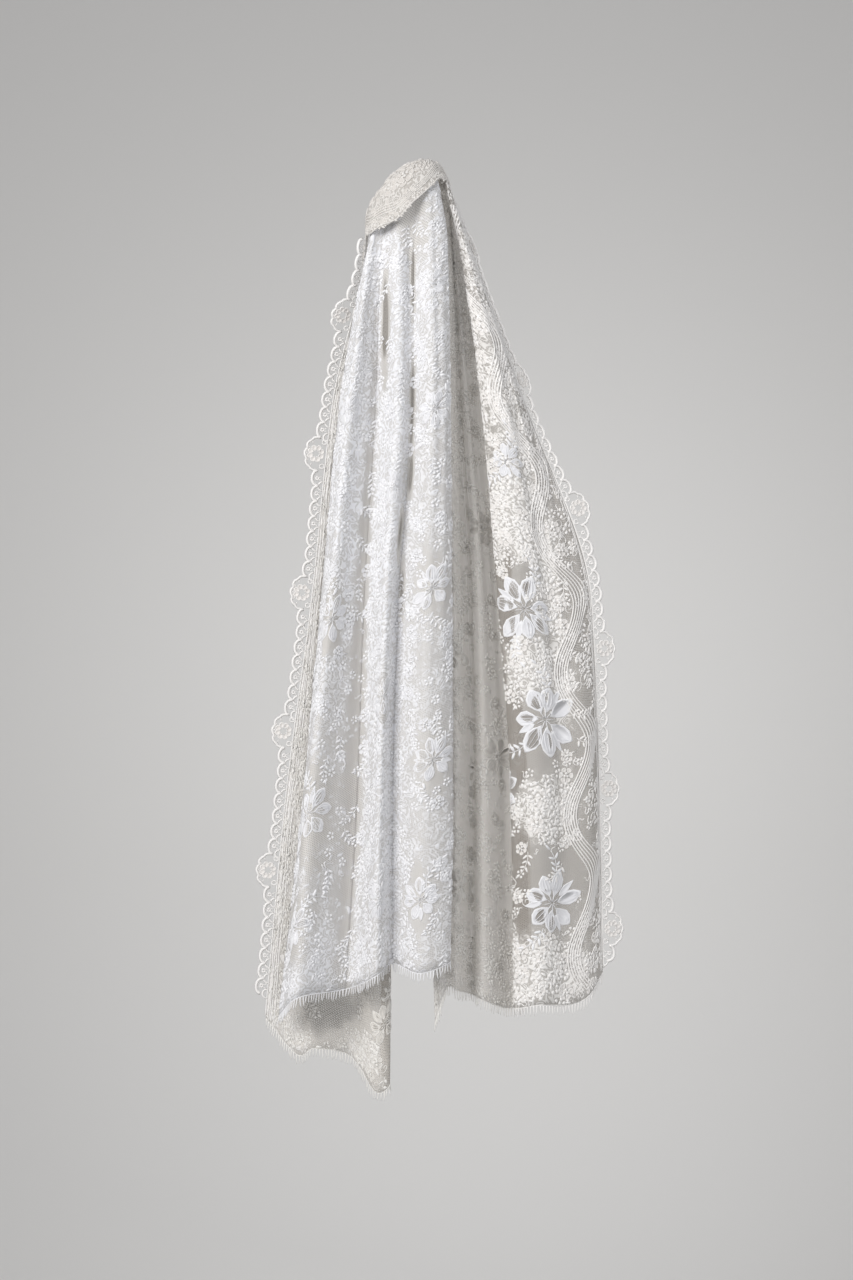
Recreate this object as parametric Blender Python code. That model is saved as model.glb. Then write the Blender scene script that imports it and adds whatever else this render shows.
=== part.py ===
"""A lace veil hung at its middle over a round wall peg.

Lengths are in millimetres until a mesh is made. A height is given as a drop below the top
of the crown, and a depth is measured out from the wall.
"""
import math

import bmesh
import bpy
import numpy as np

MM = 0.001
CLOTH = 1.2
SEAM = 0.4
RIM_SEAM = 0.6
BORDER_SEAM = 0.6
SEAT = 0.3

KNOB_RADIUS = 16.0
KNOB_DEPTH = 50.0
SHAFT_RADIUS = 4.0
PLATE_RADIUS = 18.0
PLATE_THICKNESS = 4.0
PEG_SIDES = 24
APEX = KNOB_RADIUS + SEAT + CLOTH / 2.0

CROWN_COLUMNS = 40
CROWN_ROWS = 11
FALL_ROWS = 19
COLUMNS_PER_FOLD = 3
ROW_CROWDING = 1.6
TUCK = CLOTH + 0.7

# drop, left edge, right edge, depth at the back, depth at the front
CROWN_SECTIONS = (
    (0.0, 0.0, 0.0, 50.0, 50.0),
    (3.0, -17.0, 10.0, 38.0, 64.0),
    (10.0, -33.0, 17.0, 30.0, 76.0),
    (19.0, -44.0, 22.0, 24.0, 84.0),
    (29.0, -55.0, 27.0, 18.0, 90.0),
    (42.0, -65.0, 30.0, 14.0, 94.0),
    (55.0, -74.0, 32.0, 12.0, 97.0),
    (68.0, -79.0, 34.0, 10.0, 99.0),
    (84.0, -81.0, 34.0, 10.0, 100.0),
    (104.0, -81.0, 34.0, 10.0, 100.0),
)

# angle in degrees (0 right, 90 wall side, 180 left, 270 front), drop of the rim there
CROWN_RIM = (
    (0.0, 34.0),
    (12.0, 32.0),
    (45.0, 22.5),
    (60.0, 10.0),
    (90.0, 9.0),
    (112.0, 12.0),
    (135.0, 27.0),
    (160.0, 75.0),
    (180.0, 102.0),
    (230.0, 95.0),
    (255.0, 85.0),
    (275.0, 63.0),
    (295.0, 42.0),
    (320.0, 30.0),
)

# drops at which the fold tables give a position; the last one of a fold is its own hem
SHOULDER = 107.0
LEVELS = (315.0, 575.0, 835.0)

# Fold tables, one row per fold line. Columns: where its top is, the hem's drop, then the
# position across and the depth at the shoulder, at the three levels and at the hem.
# A top is ("rim", angle), ("tuck", angle, drop) inside the crown, or ("free", x, depth, drop).
FRONT_FOLDS = (
    (("tuck", 190.0, 29.0), 1118.0, (-76, -120, -146, -170, -199), (62, 50, 45, 45, 48)),
    (("tuck", 208.0, 29.0), 1087.0, (-72, -99, -125, -151, -167), (74, 92, 95, 98, 100)),
    (("tuck", 226.0, 29.0), 1082.0, (-60, -68, -83, -92, -107), (70, 62, 58, 55, 55)),
    (("tuck", 248.0, 29.0), 1059.0, (-39, -40, -55, -63, -68), (88, 98, 102, 106, 108)),
    (("tuck", 268.0, 29.0), 1046.0, (-18, -20, -38, -46, -46), (80, 80, 78, 76, 76)),
    (("tuck", 290.0, 25.0), 1054.0, (3, 5, -3, -8, -11), (92, 106, 110, 112, 112)),
    (("tuck", 312.0, 22.0), 1041.0, (25, 29, 31, 32, 29), (80, 88, 92, 94, 94)),
    (("free", 9.0, 68.0, 22.0), 1037.0, (10, 8, 5, 3, 0), (66, 68, 66, 64, 64)),
)
BACK_LEFT_FOLDS = (
    (("rim", 182.0), 1125.0, (None, -124, -151, -180, -208), (None, 28, 28, 30, 32)),
    (("rim", 176.0), 1173.0, (None, -116, -138, -156, -173), (None, 22, 19, 18, 20)),
    (("rim", 170.0), 1163.0, (None, -107, -117, -133, -148), (None, 28, 30, 33, 34)),
    (("rim", 165.0), 1177.0, (None, -86, -94, -99, -102), (None, 12, 10, 10, 12)),
    (("rim", 159.0), 1220.0, (None, -65, -70, -70, -69), (None, 24, 28, 30, 32)),
    (("rim", 152.0), 1211.0, (None, -44, -47, -48, -50), (None, 22, 26, 28, 30)),
    (("rim", 146.0), 1199.0, (None, -55, -57, -60, -63), (None, 8, 8, 8, 8)),
)
BACK_CENTRE_FOLDS = (
    (("rim", 48.0), 1128.0, (16, 13, 5, 3, 12), (36, 30, 28, 26, 26)),
    (("rim", 42.0), 1082.0, (21, 22, 23, 23, 23), (40, 38, 38, 38, 38)),
    (("rim", 36.0), 1085.0, (27, 31, 36, 39, 39), (44, 44, 46, 48, 48)),
    (("rim", 30.0), 1093.0, (31, 42, 52, 57, 57), (36, 26, 22, 20, 20)),
    (("rim", 24.0), 1099.0, (35, 51, 68, 73, 73), (40, 38, 40, 42, 42)),
    (("rim", 18.0), 1113.0, (42, 65, 91, 104, 109), (32, 20, 16, 14, 14)),
    (("rim", 12.5), 1103.0, (47, 81, 114, 133, 138), (28, 16, 12, 12, 12)),
)
RIGHT_FOLDS = (
    (("free", 19.0, 60.0, 34.0), 1100.0, (49, 86, 112, 130, 133), (44, 36, 34, 32, 32)),
    (("rim", -28.0), 1107.0, (40, 69, 91, 108, 112), (56, 58, 62, 62, 60)),
    (("rim", -18.0), 1100.0, (45, 90, 125, 143, 146), (62, 76, 80, 80, 76)),
    (("rim", -9.0), 1103.0, (49, 109, 161, 179, 179), (58, 66, 62, 60, 58)),
    (("rim", 1.0), 1093.0, (51, 120, 186, 209, 209), (52, 56, 56, 52, 48)),
    (("rim", 10.0), 1063.0, (52, 125, 213, 224, 229), (46, 44, 40, 36, 34)),
)

# One repeat of the border. Columns: length, bump height, notch height at its end,
# hole radius, height of the hole's centre, points on the bump.
BORDER_REPEAT = (
    (20.0, 16.0, 9.0, 3.7, 7.6, 2),
    (20.0, 16.0, 9.0, 3.7, 7.6, 2),
    (20.0, 16.0, 9.0, 3.7, 7.6, 2),
    (20.0, 16.0, 9.0, 3.7, 7.6, 2),
    (20.0, 16.0, 9.0, 3.7, 7.6, 2),
    (20.0, 20.0, 14.0, 4.0, 9.0, 2),
    (44.0, 29.0, 14.0, 6.5, 14.0, 5),
    (20.0, 20.0, 9.0, 4.0, 9.0, 2),
)
LEFT_BORDER_START = 3.0
LEFT_BORDER_PHASE = 1
RIGHT_BORDER_START = 24.0
RIGHT_BORDER_PHASE = 4
BORDER_GROWTH = 130.0
BORDER_TOP_SHARE = 0.55

STRAND_PITCH = 5.0
STRAND_WIDTH = 1.0
STRAND_LENGTH = 11.0
ROOT_STRIP = 1.5

WHITE_LACE = (0.86, 0.88, 0.90)
CREAM_LACE = (0.90, 0.87, 0.80)
SHADED_LACE = (0.80, 0.78, 0.74)
PEG_PAINT = (0.62, 0.61, 0.58)


def monotone_slopes(knots, values):
    """Slopes of a smooth curve through the knots that never overshoots them."""
    steps = np.diff(knots)
    rates = np.diff(values) / steps
    slopes = np.empty(len(knots))
    slopes[0] = rates[0]
    slopes[-1] = rates[-1]
    for index in range(1, len(knots) - 1):
        before = rates[index - 1]
        after = rates[index]
        if before * after <= 0.0:
            slopes[index] = 0.0
        else:
            slopes[index] = 2.0 * before * after / (before + after)
    return slopes


def curve_at(knots, values, at, first_slope=None):
    """Value of the smooth curve through the knots."""
    knots = np.asarray(knots, float)
    values = np.asarray(values, float)
    slopes = monotone_slopes(knots, values)
    if first_slope is not None:
        slopes[0] = first_slope
    at = np.clip(at, knots[0], knots[-1])
    cell = np.clip(np.searchsorted(knots, at, side="right") - 1, 0, len(knots) - 2)
    width = knots[cell + 1] - knots[cell]
    share = (at - knots[cell]) / width
    square = share * share
    cube = square * share
    start = (2.0 * cube - 3.0 * square + 1.0) * values[cell]
    end = (3.0 * square - 2.0 * cube) * values[cell + 1]
    lean_in = (cube - 2.0 * square + share) * width * slopes[cell]
    lean_out = (cube - square) * width * slopes[cell + 1]
    return start + end + lean_in + lean_out


def rim_drop(angle):
    """Drop of the crown's rim at an angle in degrees."""
    angles = [row[0] for row in CROWN_RIM]
    drops = [row[1] for row in CROWN_RIM]
    knots = [a - 360.0 for a in angles[-3:]] + angles + [a + 360.0 for a in angles[:3]]
    values = drops[-3:] + drops + drops[:3]
    return curve_at(knots, values, np.mod(angle, 360.0))


def crown_point(angle, drop):
    """Point on the middle of the crown's cloth as x, depth and drop."""
    reach = np.sqrt(np.maximum(drop, 0.0))
    knots = [math.sqrt(row[0]) for row in CROWN_SECTIONS]
    left, right, back, front = (
        curve_at(knots, [row[column] for row in CROWN_SECTIONS], reach) for column in (1, 2, 3, 4)
    )
    turn = np.radians(angle)
    x = (left + right) / 2.0 + (right - left) / 2.0 * np.cos(turn)
    depth = (back + front) / 2.0 - (front - back) / 2.0 * np.sin(turn)
    return np.stack([x, depth, drop + 0.0 * x], axis=-1)


def unit(vectors):
    """Vectors scaled to length one."""
    return vectors / np.maximum(np.linalg.norm(vectors, axis=-1, keepdims=True), 1e-12)


def crown_normal(angle, drop):
    """Unit vector out of the crown."""
    along = crown_point(angle + 0.5, drop) - crown_point(angle - 0.5, drop)
    down = crown_point(angle, drop + 0.2) - crown_point(angle, drop - 0.2)
    normal = unit(np.cross(along, down))
    centre = (crown_point(0.0, drop) + crown_point(180.0, drop)) / 2.0
    outward = crown_point(angle, drop) - centre
    facing = np.sum(normal * outward, axis=-1, keepdims=True)
    return np.where(facing < 0.0, -normal, normal)


def fold_top(top):
    """Start of a fold line, with its slopes across and in depth where it leaves the rim."""
    if top[0] == "free":
        return np.array(top[1:4]), None
    angle = top[1]
    if top[0] == "tuck":
        point = crown_point(angle, top[2]) - TUCK * crown_normal(angle, top[2])
        return point, None
    drop = float(rim_drop(angle))
    down = crown_point(angle, drop - 0.1) - crown_point(angle, drop - 2.1)
    ahead = crown_point(angle + 1.0, float(rim_drop(angle + 1.0)))
    behind = crown_point(angle - 1.0, float(rim_drop(angle - 1.0)))
    rim = unit(ahead - behind)
    slant = np.dot(unit(down), rim)
    step = RIM_SEAM / math.sqrt(max(0.05, 1.0 - slant * slant))
    return crown_point(angle, drop) + step * unit(down), down / down[2]


def fold_points(fold, along):
    """Points on one fold line for shares of its length, as x, depth and drop."""
    top, hem, across, depths = fold
    start, slopes = fold_top(top)
    knots = [start[2]]
    xs = [start[0]]
    ds = [start[1]]
    for level, x, depth in zip((SHOULDER,) + LEVELS + (hem,), across, depths):
        if x is not None:
            knots.append(level)
            xs.append(x)
            ds.append(depth)
    drops = start[2] + (hem - start[2]) * along**ROW_CROWDING
    lean_x = None if slopes is None else slopes[0]
    lean_d = None if slopes is None else slopes[1]
    x = curve_at(knots, xs, drops, lean_x)
    depth = curve_at(knots, ds, drops, lean_d)
    return np.stack([x, depth, drops], axis=-1)


def cloth_point(folds, across, along):
    """Point of the cloth between its fold lines, rounded over each fold."""
    lines = np.stack([fold_points(fold, along) for fold in folds])
    before = 2.0 * lines[:1] - lines[1:2]
    after = 2.0 * lines[-1:] - lines[-2:-1]
    lines = np.concatenate([before, lines, after])
    cell = np.clip(np.floor(across).astype(int), 0, len(folds) - 2)
    share = (across - cell)[..., None]
    near = [np.take_along_axis(lines, (cell + k)[None, ..., None], axis=0)[0] for k in range(4)]
    straight = 2.0 * near[1]
    lean = (near[2] - near[0]) * share
    bend = (2.0 * near[0] - 5.0 * near[1] + 4.0 * near[2] - near[3]) * share**2
    twist = (3.0 * near[1] - near[0] - 3.0 * near[2] + near[3]) * share**3
    return 0.5 * (straight + lean + bend + twist)


def cloth_frame(folds, across, along):
    """Point, direction across, direction down and normal of the cloth."""
    across = np.asarray(across, float)
    along = np.asarray(along, float)
    step = 1e-3
    upper = np.clip(along - step, 0.0, 1.0)
    lower = np.clip(along + step, 0.0, 1.0)
    point = cloth_point(folds, across, along)
    right = cloth_point(folds, across + step, along) - cloth_point(folds, across - step, along)
    down = cloth_point(folds, across, lower) - cloth_point(folds, across, upper)
    span = np.linalg.norm(right, axis=-1) / (2.0 * step)
    return point, unit(right), unit(down), unit(np.cross(right, down)), span


def to_world(points):
    """World metres from x, depth and drop in millimetres."""
    points = np.asarray(points, float)
    return np.stack([points[..., 0], -points[..., 1], APEX - points[..., 2]], axis=-1) * MM


def lace(name, colour):
    """Principled material of one piece of cloth."""
    material = bpy.data.materials.new(name)
    material.use_nodes = True
    shader = material.node_tree.nodes["Principled BSDF"]
    shader.inputs["Base Color"].default_value = (*colour, 1.0)
    shader.inputs["Roughness"].default_value = 0.85
    return material


def add_solid(name, points, faces, colour, smooth=True):
    """Make a named closed mesh from points in x, depth and drop."""
    mesh = bpy.data.meshes.new(name)
    mesh.from_pydata([tuple(p) for p in to_world(points)], [], faces)
    shape = bmesh.new()
    shape.from_mesh(mesh)
    bmesh.ops.recalc_face_normals(shape, faces=shape.faces)
    shape.to_mesh(mesh)
    shape.free()
    mesh.polygons.foreach_set("use_smooth", [smooth] * len(mesh.polygons))
    mesh.materials.append(lace(name, colour))
    solid = bpy.data.objects.new(name, mesh)
    bpy.context.scene.collection.objects.link(solid)
    return solid


def shell_points(points, normals):
    """Both faces of a cloth from its middle, one after the other."""
    flat = points.reshape(-1, 3)
    offset = normals.reshape(-1, 3) * CLOTH / 2.0
    return np.concatenate([flat + offset, flat - offset])


def sheet_faces(rows, columns):
    """Faces of a closed sheet with two layers and a wall round its edge."""
    layer = rows * columns
    faces = []
    for row in range(rows - 1):
        for column in range(columns - 1):
            a = row * columns + column
            b = a + columns
            faces.append((a, a + 1, b + 1, b))
            faces.append((b + layer, b + 1 + layer, a + 1 + layer, a + layer))
    for column in range(columns - 1):
        last = (rows - 1) * columns + column
        faces.append((column, column + layer, column + 1 + layer, column + 1))
        faces.append((last, last + 1, last + 1 + layer, last + layer))
    for row in range(rows - 1):
        a = row * columns
        b = a + columns - 1
        faces.append((a, a + columns, a + columns + layer, a + layer))
        faces.append((b, b + layer, b + columns + layer, b + columns))
    return faces


def fall_grid(folds, first, last):
    """Grid across and along one stretch, drawn in by half a seam where it meets another."""
    columns = int(round((last - first) * COLUMNS_PER_FOLD)) + 1
    along = np.linspace(0.0, 1.0, FALL_ROWS)
    across = np.tile(np.linspace(first, last, columns), (FALL_ROWS, 1))
    if first > 0:
        across[:, 0] += SEAM / 2.0 / cloth_frame(folds, across[:, 0], along)[4]
    if last < len(folds) - 1:
        across[:, -1] -= SEAM / 2.0 / cloth_frame(folds, across[:, -1], along)[4]
    return across, np.tile(along[:, None], (1, columns))


def build_fall(name, folds, first, last, colour):
    """One hanging stretch of the veil, from one fold line to another."""
    across, along = fall_grid(folds, first, last)
    point, _, _, normal, _ = cloth_frame(folds, across, along)
    rows, columns = across.shape
    add_solid(name, shell_points(point, normal), sheet_faces(rows, columns), colour)


def build_crown():
    """The middle of the veil, draped over the knob."""
    angles = np.arange(CROWN_COLUMNS) * 360.0 / CROWN_COLUMNS
    rims = rim_drop(angles)
    outer = [np.array([0.0, KNOB_DEPTH, -CLOTH / 2.0])]
    inner = [np.array([0.0, KNOB_DEPTH, CLOTH / 2.0])]
    for row in range(1, CROWN_ROWS + 1):
        drops = rims * (row / CROWN_ROWS) ** 2
        points = np.array([crown_point(a, d) for a, d in zip(angles, drops)])
        normals = np.array([crown_normal(a, d) for a, d in zip(angles, drops)])
        outer.extend(points + normals * CLOTH / 2.0)
        inner.extend(points - normals * CLOTH / 2.0)
    layer = len(outer)
    faces = []
    for column in range(CROWN_COLUMNS):
        after = (column + 1) % CROWN_COLUMNS
        faces.append((0, 1 + column, 1 + after))
        faces.append((layer, layer + 1 + after, layer + 1 + column))
        for row in range(CROWN_ROWS - 1):
            a = 1 + row * CROWN_COLUMNS + column
            b = 1 + row * CROWN_COLUMNS + after
            below = CROWN_COLUMNS
            faces.append((a, a + below, b + below, b))
            faces.append((layer + b, layer + b + below, layer + a + below, layer + a))
        a = 1 + (CROWN_ROWS - 1) * CROWN_COLUMNS + column
        b = 1 + (CROWN_ROWS - 1) * CROWN_COLUMNS + after
        faces.append((a, layer + a, layer + b, b))
    add_solid("crown_drape", np.array(outer + inner), faces, CREAM_LACE)


def border_line(folds, edge, outward_x):
    """Root of a border by arc length, clear of its stretch, with its outward and normal."""
    along = np.linspace(0.0, 1.0, FALL_ROWS)
    point, right, down, _, _ = cloth_frame(folds, np.full(FALL_ROWS, float(edge)), along)
    level = right if edge > 0 else -right
    level = unit(level - down * np.sum(level * down, axis=-1, keepdims=True))
    outward = unit(level + np.array([outward_x, 0.0, 0.0]))
    outward = unit(outward - down * np.sum(outward * down, axis=-1, keepdims=True))
    lean = np.clip(np.sum(outward * level, axis=-1, keepdims=True), 0.5, 1.0)
    clear = (BORDER_SEAM + CLOTH / 2.0 * np.sqrt(1.0 - lean**2)) / lean
    steps = np.linalg.norm(np.diff(point, axis=0), axis=-1)
    arcs = np.concatenate([[0.0], np.cumsum(steps)])
    return arcs, point + clear * outward, outward, unit(np.cross(outward, down))


def line_at(arcs, values, at):
    """Vectors along a line at given arc lengths."""
    return np.stack([np.interp(at, arcs, values[:, axis]) for axis in range(3)], axis=-1)


def border_cells(length, start, phase):
    """Cells of the border between its start and its end, each with its own place."""
    cells = []
    place = start
    notch = BORDER_REPEAT[phase - 1][2]
    index = phase
    while place + BORDER_REPEAT[index % len(BORDER_REPEAT)][0] <= length - 2.0:
        cell = BORDER_REPEAT[index % len(BORDER_REPEAT)]
        cells.append((place, notch, cell))
        place += cell[0]
        notch = cell[2]
        index += 1
    return cells


def grown(points, place):
    """Points of a cell moved to their place, with the border narrower at the crown."""
    along = points[:, 0] + place
    share = BORDER_TOP_SHARE + (1.0 - BORDER_TOP_SHARE) * along / BORDER_GROWTH
    return np.stack([along, points[:, 1] * np.minimum(1.0, share)], axis=-1)


def cell_outline(place, notch, cell):
    """Outline of one cell along and out from the edge, then its hole point for point."""
    length, bump, notch_after, radius, centre, count = cell
    base = [(0.0, 0.0), (length / 2.0, 0.0), (length, 0.0)] if count > 2 else [(0.0, 0.0), (length, 0.0)]
    arc = []
    for index in range(count):
        turn = math.pi * (index + 1) / (count + 1)
        lift = math.sin(turn) / math.sin(math.pi * ((count + 1) // 2) / (count + 1))
        low = notch_after + (notch - notch_after) * (1.0 - math.cos(turn)) / 2.0
        arc.append((length / 2.0 * (1.0 + 0.95 * math.cos(turn)), low + (bump - low) * lift))
    outline = np.array(base + [(length, notch_after)] + arc + [(0.0, notch)])
    middle = np.array([length / 2.0, centre])
    hole = middle + radius * unit(outline - middle)
    return grown(outline, place), grown(hole, place), len(base)


def build_border(name, folds, edge, outward_x, start, phase, colour):
    """Scalloped border with a hole cut through each ring."""
    arcs, line, outward, normal = border_line(folds, edge, outward_x)
    cells = border_cells(arcs[-1], start, phase)
    flat = []
    faces = []
    known = {}

    def index_of(point):
        key = (round(float(point[0]), 3), round(float(point[1]), 3))
        if key not in known:
            known[key] = len(flat)
            flat.append(point)
        return known[key]

    walls = []
    for number, (place, notch, cell) in enumerate(cells):
        outline, hole, base = cell_outline(place, notch, cell)
        ring = [index_of(p) for p in outline]
        inner = [index_of(p) for p in hole]
        count = len(ring)
        for a in range(count):
            b = (a + 1) % count
            faces.append((ring[a], ring[b], inner[b], inner[a]))
            walls.append((inner[a], inner[b]))
            side_after = a == base - 1
            side_before = a == count - 1
            if side_after and number < len(cells) - 1:
                continue
            if side_before and number > 0:
                continue
            walls.append((ring[b], ring[a]))
    flat = np.array(flat)
    out = flat[:, 1][:, None]
    points = line_at(arcs, line, flat[:, 0]) + out * unit(line_at(arcs, outward, flat[:, 0]))
    normals = unit(line_at(arcs, normal, flat[:, 0]))
    layer = len(flat)
    solid = list(faces)
    solid.extend(tuple(layer + i for i in reversed(face)) for face in faces)
    solid.extend((a, b, layer + b, layer + a) for a, b in walls)
    add_solid(name, shell_points(points, normals), solid, colour, smooth=False)


def hem_line(folds, first, last):
    """Hem of a stretch by arc length, with its normal and the way its fringe hangs.

    The last vector is scaled so that it steps clear of the hem by one seam.
    """
    across, along = fall_grid(folds, first, last)
    point, _, down, normal, _ = cloth_frame(folds, across[-1], along[-1])
    hem = unit(np.gradient(point, axis=0))
    square = unit(np.cross(normal, hem))
    square = np.where(np.sum(square * down, axis=-1, keepdims=True) < 0.0, -square, square)
    hang = unit(down + square)
    hang = hang / np.sum(hang * square, axis=-1, keepdims=True)
    steps = np.linalg.norm(np.diff(point, axis=0), axis=-1)
    arcs = np.concatenate([[0.0], np.cumsum(steps)])
    return arcs, point, hang, normal


def fringe_stations(arcs):
    """Arc lengths along a hem, each with whether a strand's root begins there.

    Every corner of the hem is kept, so that the strip never cuts across one.
    """
    stations = [(arcs[0] + 0.3, False)]
    for before, after in zip(arcs[:-1], arcs[1:]):
        span = after - before
        count = int(round(span / STRAND_PITCH))
        for index in range(count):
            middle = before + span * (index + 0.5) / count
            stations.append((middle - STRAND_WIDTH / 2.0, True))
            stations.append((middle + STRAND_WIDTH / 2.0, False))
        stations.append((after, False))
    stations[-1] = (arcs[-1] - 0.3, False)
    return np.array([place for place, _ in stations]), [root for _, root in stations]


def strand_tip(middle, hang, number):
    """Free end of one strand, a little uneven from one to the next."""
    length = STRAND_LENGTH * (1.0 + 0.16 * math.sin(2.3 * number))
    sway = (0.9 * math.sin(1.7 * number), 0.5 * math.cos(2.9 * number), 0.0)
    return middle + unit(hang) * length + np.array(sway)


def build_fringe(name, folds, first, last, colour):
    """Short strands fused to a narrow strip along one hem."""
    arcs, line, hang, normal = hem_line(folds, first, last)
    stations, roots = fringe_stations(arcs)
    point = line_at(arcs, line, stations)
    fall = line_at(arcs, hang, stations)
    out = unit(line_at(arcs, normal, stations)) * CLOTH / 2.0
    top = point + fall * SEAM
    foot = point + fall * (SEAM + ROOT_STRIP)
    points = list(top + out) + list(top - out) + list(foot + out) + list(foot - out)
    count = len(stations)
    faces = []
    for a in range(count - 1):
        b = a + 1
        faces.append((a, b, count + b, count + a))
        faces.append((a, 2 * count + a, 2 * count + b, b))
        faces.append((count + a, count + b, 3 * count + b, 3 * count + a))
        floor = (2 * count + a, 3 * count + a, 3 * count + b, 2 * count + b)
        if roots[a]:
            tip = len(points)
            points.append(strand_tip((foot[a] + foot[b]) / 2.0, fall[a], a))
            faces.extend((floor[k], floor[(k + 1) % 4], tip) for k in range(4))
        else:
            faces.append(floor)
    end = count - 1
    faces.append((0, count, 3 * count, 2 * count))
    faces.append((end, 2 * count + end, 3 * count + end, count + end))
    add_solid(name, np.array(points), faces, colour, smooth=False)


def peg_profile():
    """Half section of the peg as depth and radius, from the wall outwards."""
    profile = [
        (0.0, PLATE_RADIUS - 0.6),
        (0.6, PLATE_RADIUS),
        (PLATE_THICKNESS - 1.2, PLATE_RADIUS),
        (PLATE_THICKNESS, PLATE_RADIUS - 1.6),
        (PLATE_THICKNESS, SHAFT_RADIUS + 1.5),
        (PLATE_THICKNESS + 1.5, SHAFT_RADIUS),
    ]
    neck = math.asin(SHAFT_RADIUS / KNOB_RADIUS)
    for index in range(13):
        turn = neck + (math.pi - neck) * index / 13
        depth = KNOB_DEPTH - KNOB_RADIUS * math.cos(turn)
        profile.append((depth, KNOB_RADIUS * math.sin(turn)))
    return profile


def build_peg():
    """Turned wall peg: plate, shaft and round knob in one."""
    profile = peg_profile()
    points = []
    for depth, radius in profile:
        for side in range(PEG_SIDES):
            turn = 2.0 * math.pi * (side + 0.5) / PEG_SIDES
            drop = APEX - radius * math.cos(turn)
            points.append((radius * math.sin(turn), depth, drop))
    tip = len(points)
    points.append((0.0, KNOB_DEPTH + KNOB_RADIUS, APEX))
    faces = [tuple(range(PEG_SIDES))]
    for ring in range(len(profile) - 1):
        for side in range(PEG_SIDES):
            after = (side + 1) % PEG_SIDES
            a = ring * PEG_SIDES
            b = a + PEG_SIDES
            faces.append((a + side, a + after, b + after, b + side))
    last = (len(profile) - 1) * PEG_SIDES
    for side in range(PEG_SIDES):
        faces.append((last + side, last + (side + 1) % PEG_SIDES, tip))
    add_solid("wall_peg", np.array(points), faces, PEG_PAINT)


def build_falls():
    """The hanging stretches in front, behind and at the right."""
    build_fall("front_left_fall", FRONT_FOLDS, 0, 2, WHITE_LACE)
    build_fall("front_mid_fall", FRONT_FOLDS, 2, 4, WHITE_LACE)
    build_fall("front_right_fall", FRONT_FOLDS, 4, 7, WHITE_LACE)
    build_fall("back_left_fall", BACK_LEFT_FOLDS, 0, 6, SHADED_LACE)
    build_fall("back_centre_fall", BACK_CENTRE_FOLDS, 0, 6, SHADED_LACE)
    build_fall("right_fall", RIGHT_FOLDS, 0, 5, CREAM_LACE)


def build_borders():
    """The scalloped long edges."""
    build_border("left_scalloped_border", BACK_LEFT_FOLDS, 0, -1.0,
                 LEFT_BORDER_START, LEFT_BORDER_PHASE, CREAM_LACE)
    build_border("right_scalloped_border", RIGHT_FOLDS, 5, 1.0,
                 RIGHT_BORDER_START, RIGHT_BORDER_PHASE, CREAM_LACE)


def build_fringes():
    """The eyelash fringe along each hem."""
    build_fringe("fringe_front_left", FRONT_FOLDS, 0, 2, WHITE_LACE)
    build_fringe("fringe_front_mid", FRONT_FOLDS, 2, 4, WHITE_LACE)
    build_fringe("fringe_front_right", FRONT_FOLDS, 4, 7, WHITE_LACE)
    build_fringe("fringe_back_left", BACK_LEFT_FOLDS, 0, 6, SHADED_LACE)
    build_fringe("fringe_back_centre", BACK_CENTRE_FOLDS, 0, 6, SHADED_LACE)
    build_fringe("fringe_right", RIGHT_FOLDS, 0, 5, CREAM_LACE)


def main():
    """Build every piece of the veil and its peg."""
    for leftover in list(bpy.data.objects):
        bpy.data.objects.remove(leftover, do_unlink=True)
    build_peg()
    build_crown()
    build_falls()
    build_borders()
    build_fringes()


main()
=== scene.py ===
"""Dress a lace veil on its wall peg: net grounds, stitched motifs, scallops and fringe.

Sizes are in millimetres until a mesh is made. A place on a cloth is given flat, as it lay on
the maker's table: so far across and so far down, and each cloth knows where that hangs.
"""
import itertools
import logging
import math
from dataclasses import dataclass, field
from enum import Enum
from functools import partial
from typing import Callable, Optional, Sequence

import bpy
import numpy as np
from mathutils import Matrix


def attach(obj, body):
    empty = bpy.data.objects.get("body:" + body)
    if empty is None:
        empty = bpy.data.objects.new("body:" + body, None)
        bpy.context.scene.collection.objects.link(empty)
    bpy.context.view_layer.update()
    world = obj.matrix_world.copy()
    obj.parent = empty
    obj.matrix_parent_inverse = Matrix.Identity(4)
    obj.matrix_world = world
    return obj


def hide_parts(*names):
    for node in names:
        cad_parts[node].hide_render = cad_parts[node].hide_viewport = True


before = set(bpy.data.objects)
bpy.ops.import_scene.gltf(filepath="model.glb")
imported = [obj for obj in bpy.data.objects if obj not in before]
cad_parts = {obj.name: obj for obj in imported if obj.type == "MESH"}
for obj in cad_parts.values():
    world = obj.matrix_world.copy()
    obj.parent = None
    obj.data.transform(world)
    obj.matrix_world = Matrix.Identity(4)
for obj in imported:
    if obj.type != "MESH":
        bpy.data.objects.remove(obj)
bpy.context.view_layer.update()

LOG = logging.getLogger("veil")

Material = bpy.types.Material
Piece = bpy.types.Object
Socket = bpy.types.NodeSocket
Tree = bpy.types.NodeTree
Spot = tuple[float, float]
Hung = tuple[np.ndarray, np.ndarray, np.ndarray]

MM = 0.001
KNOB_RADIUS = 16.0
KNOB_DEPTH = 50.0
SEAT = 0.3
CLOTH = 1.2
APEX = KNOB_RADIUS + SEAT + CLOTH / 2.0
TUCK_GAP = CLOTH + 0.7
RIM_SEAM = 0.6
LEVELS = (107.0, 315.0, 575.0, 835.0)
NET_WALL = 0.3
FULL_TURN = 2.0 * math.pi
# Top of the range that random angles are drawn from.
ANY_TURN = 6.28

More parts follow.
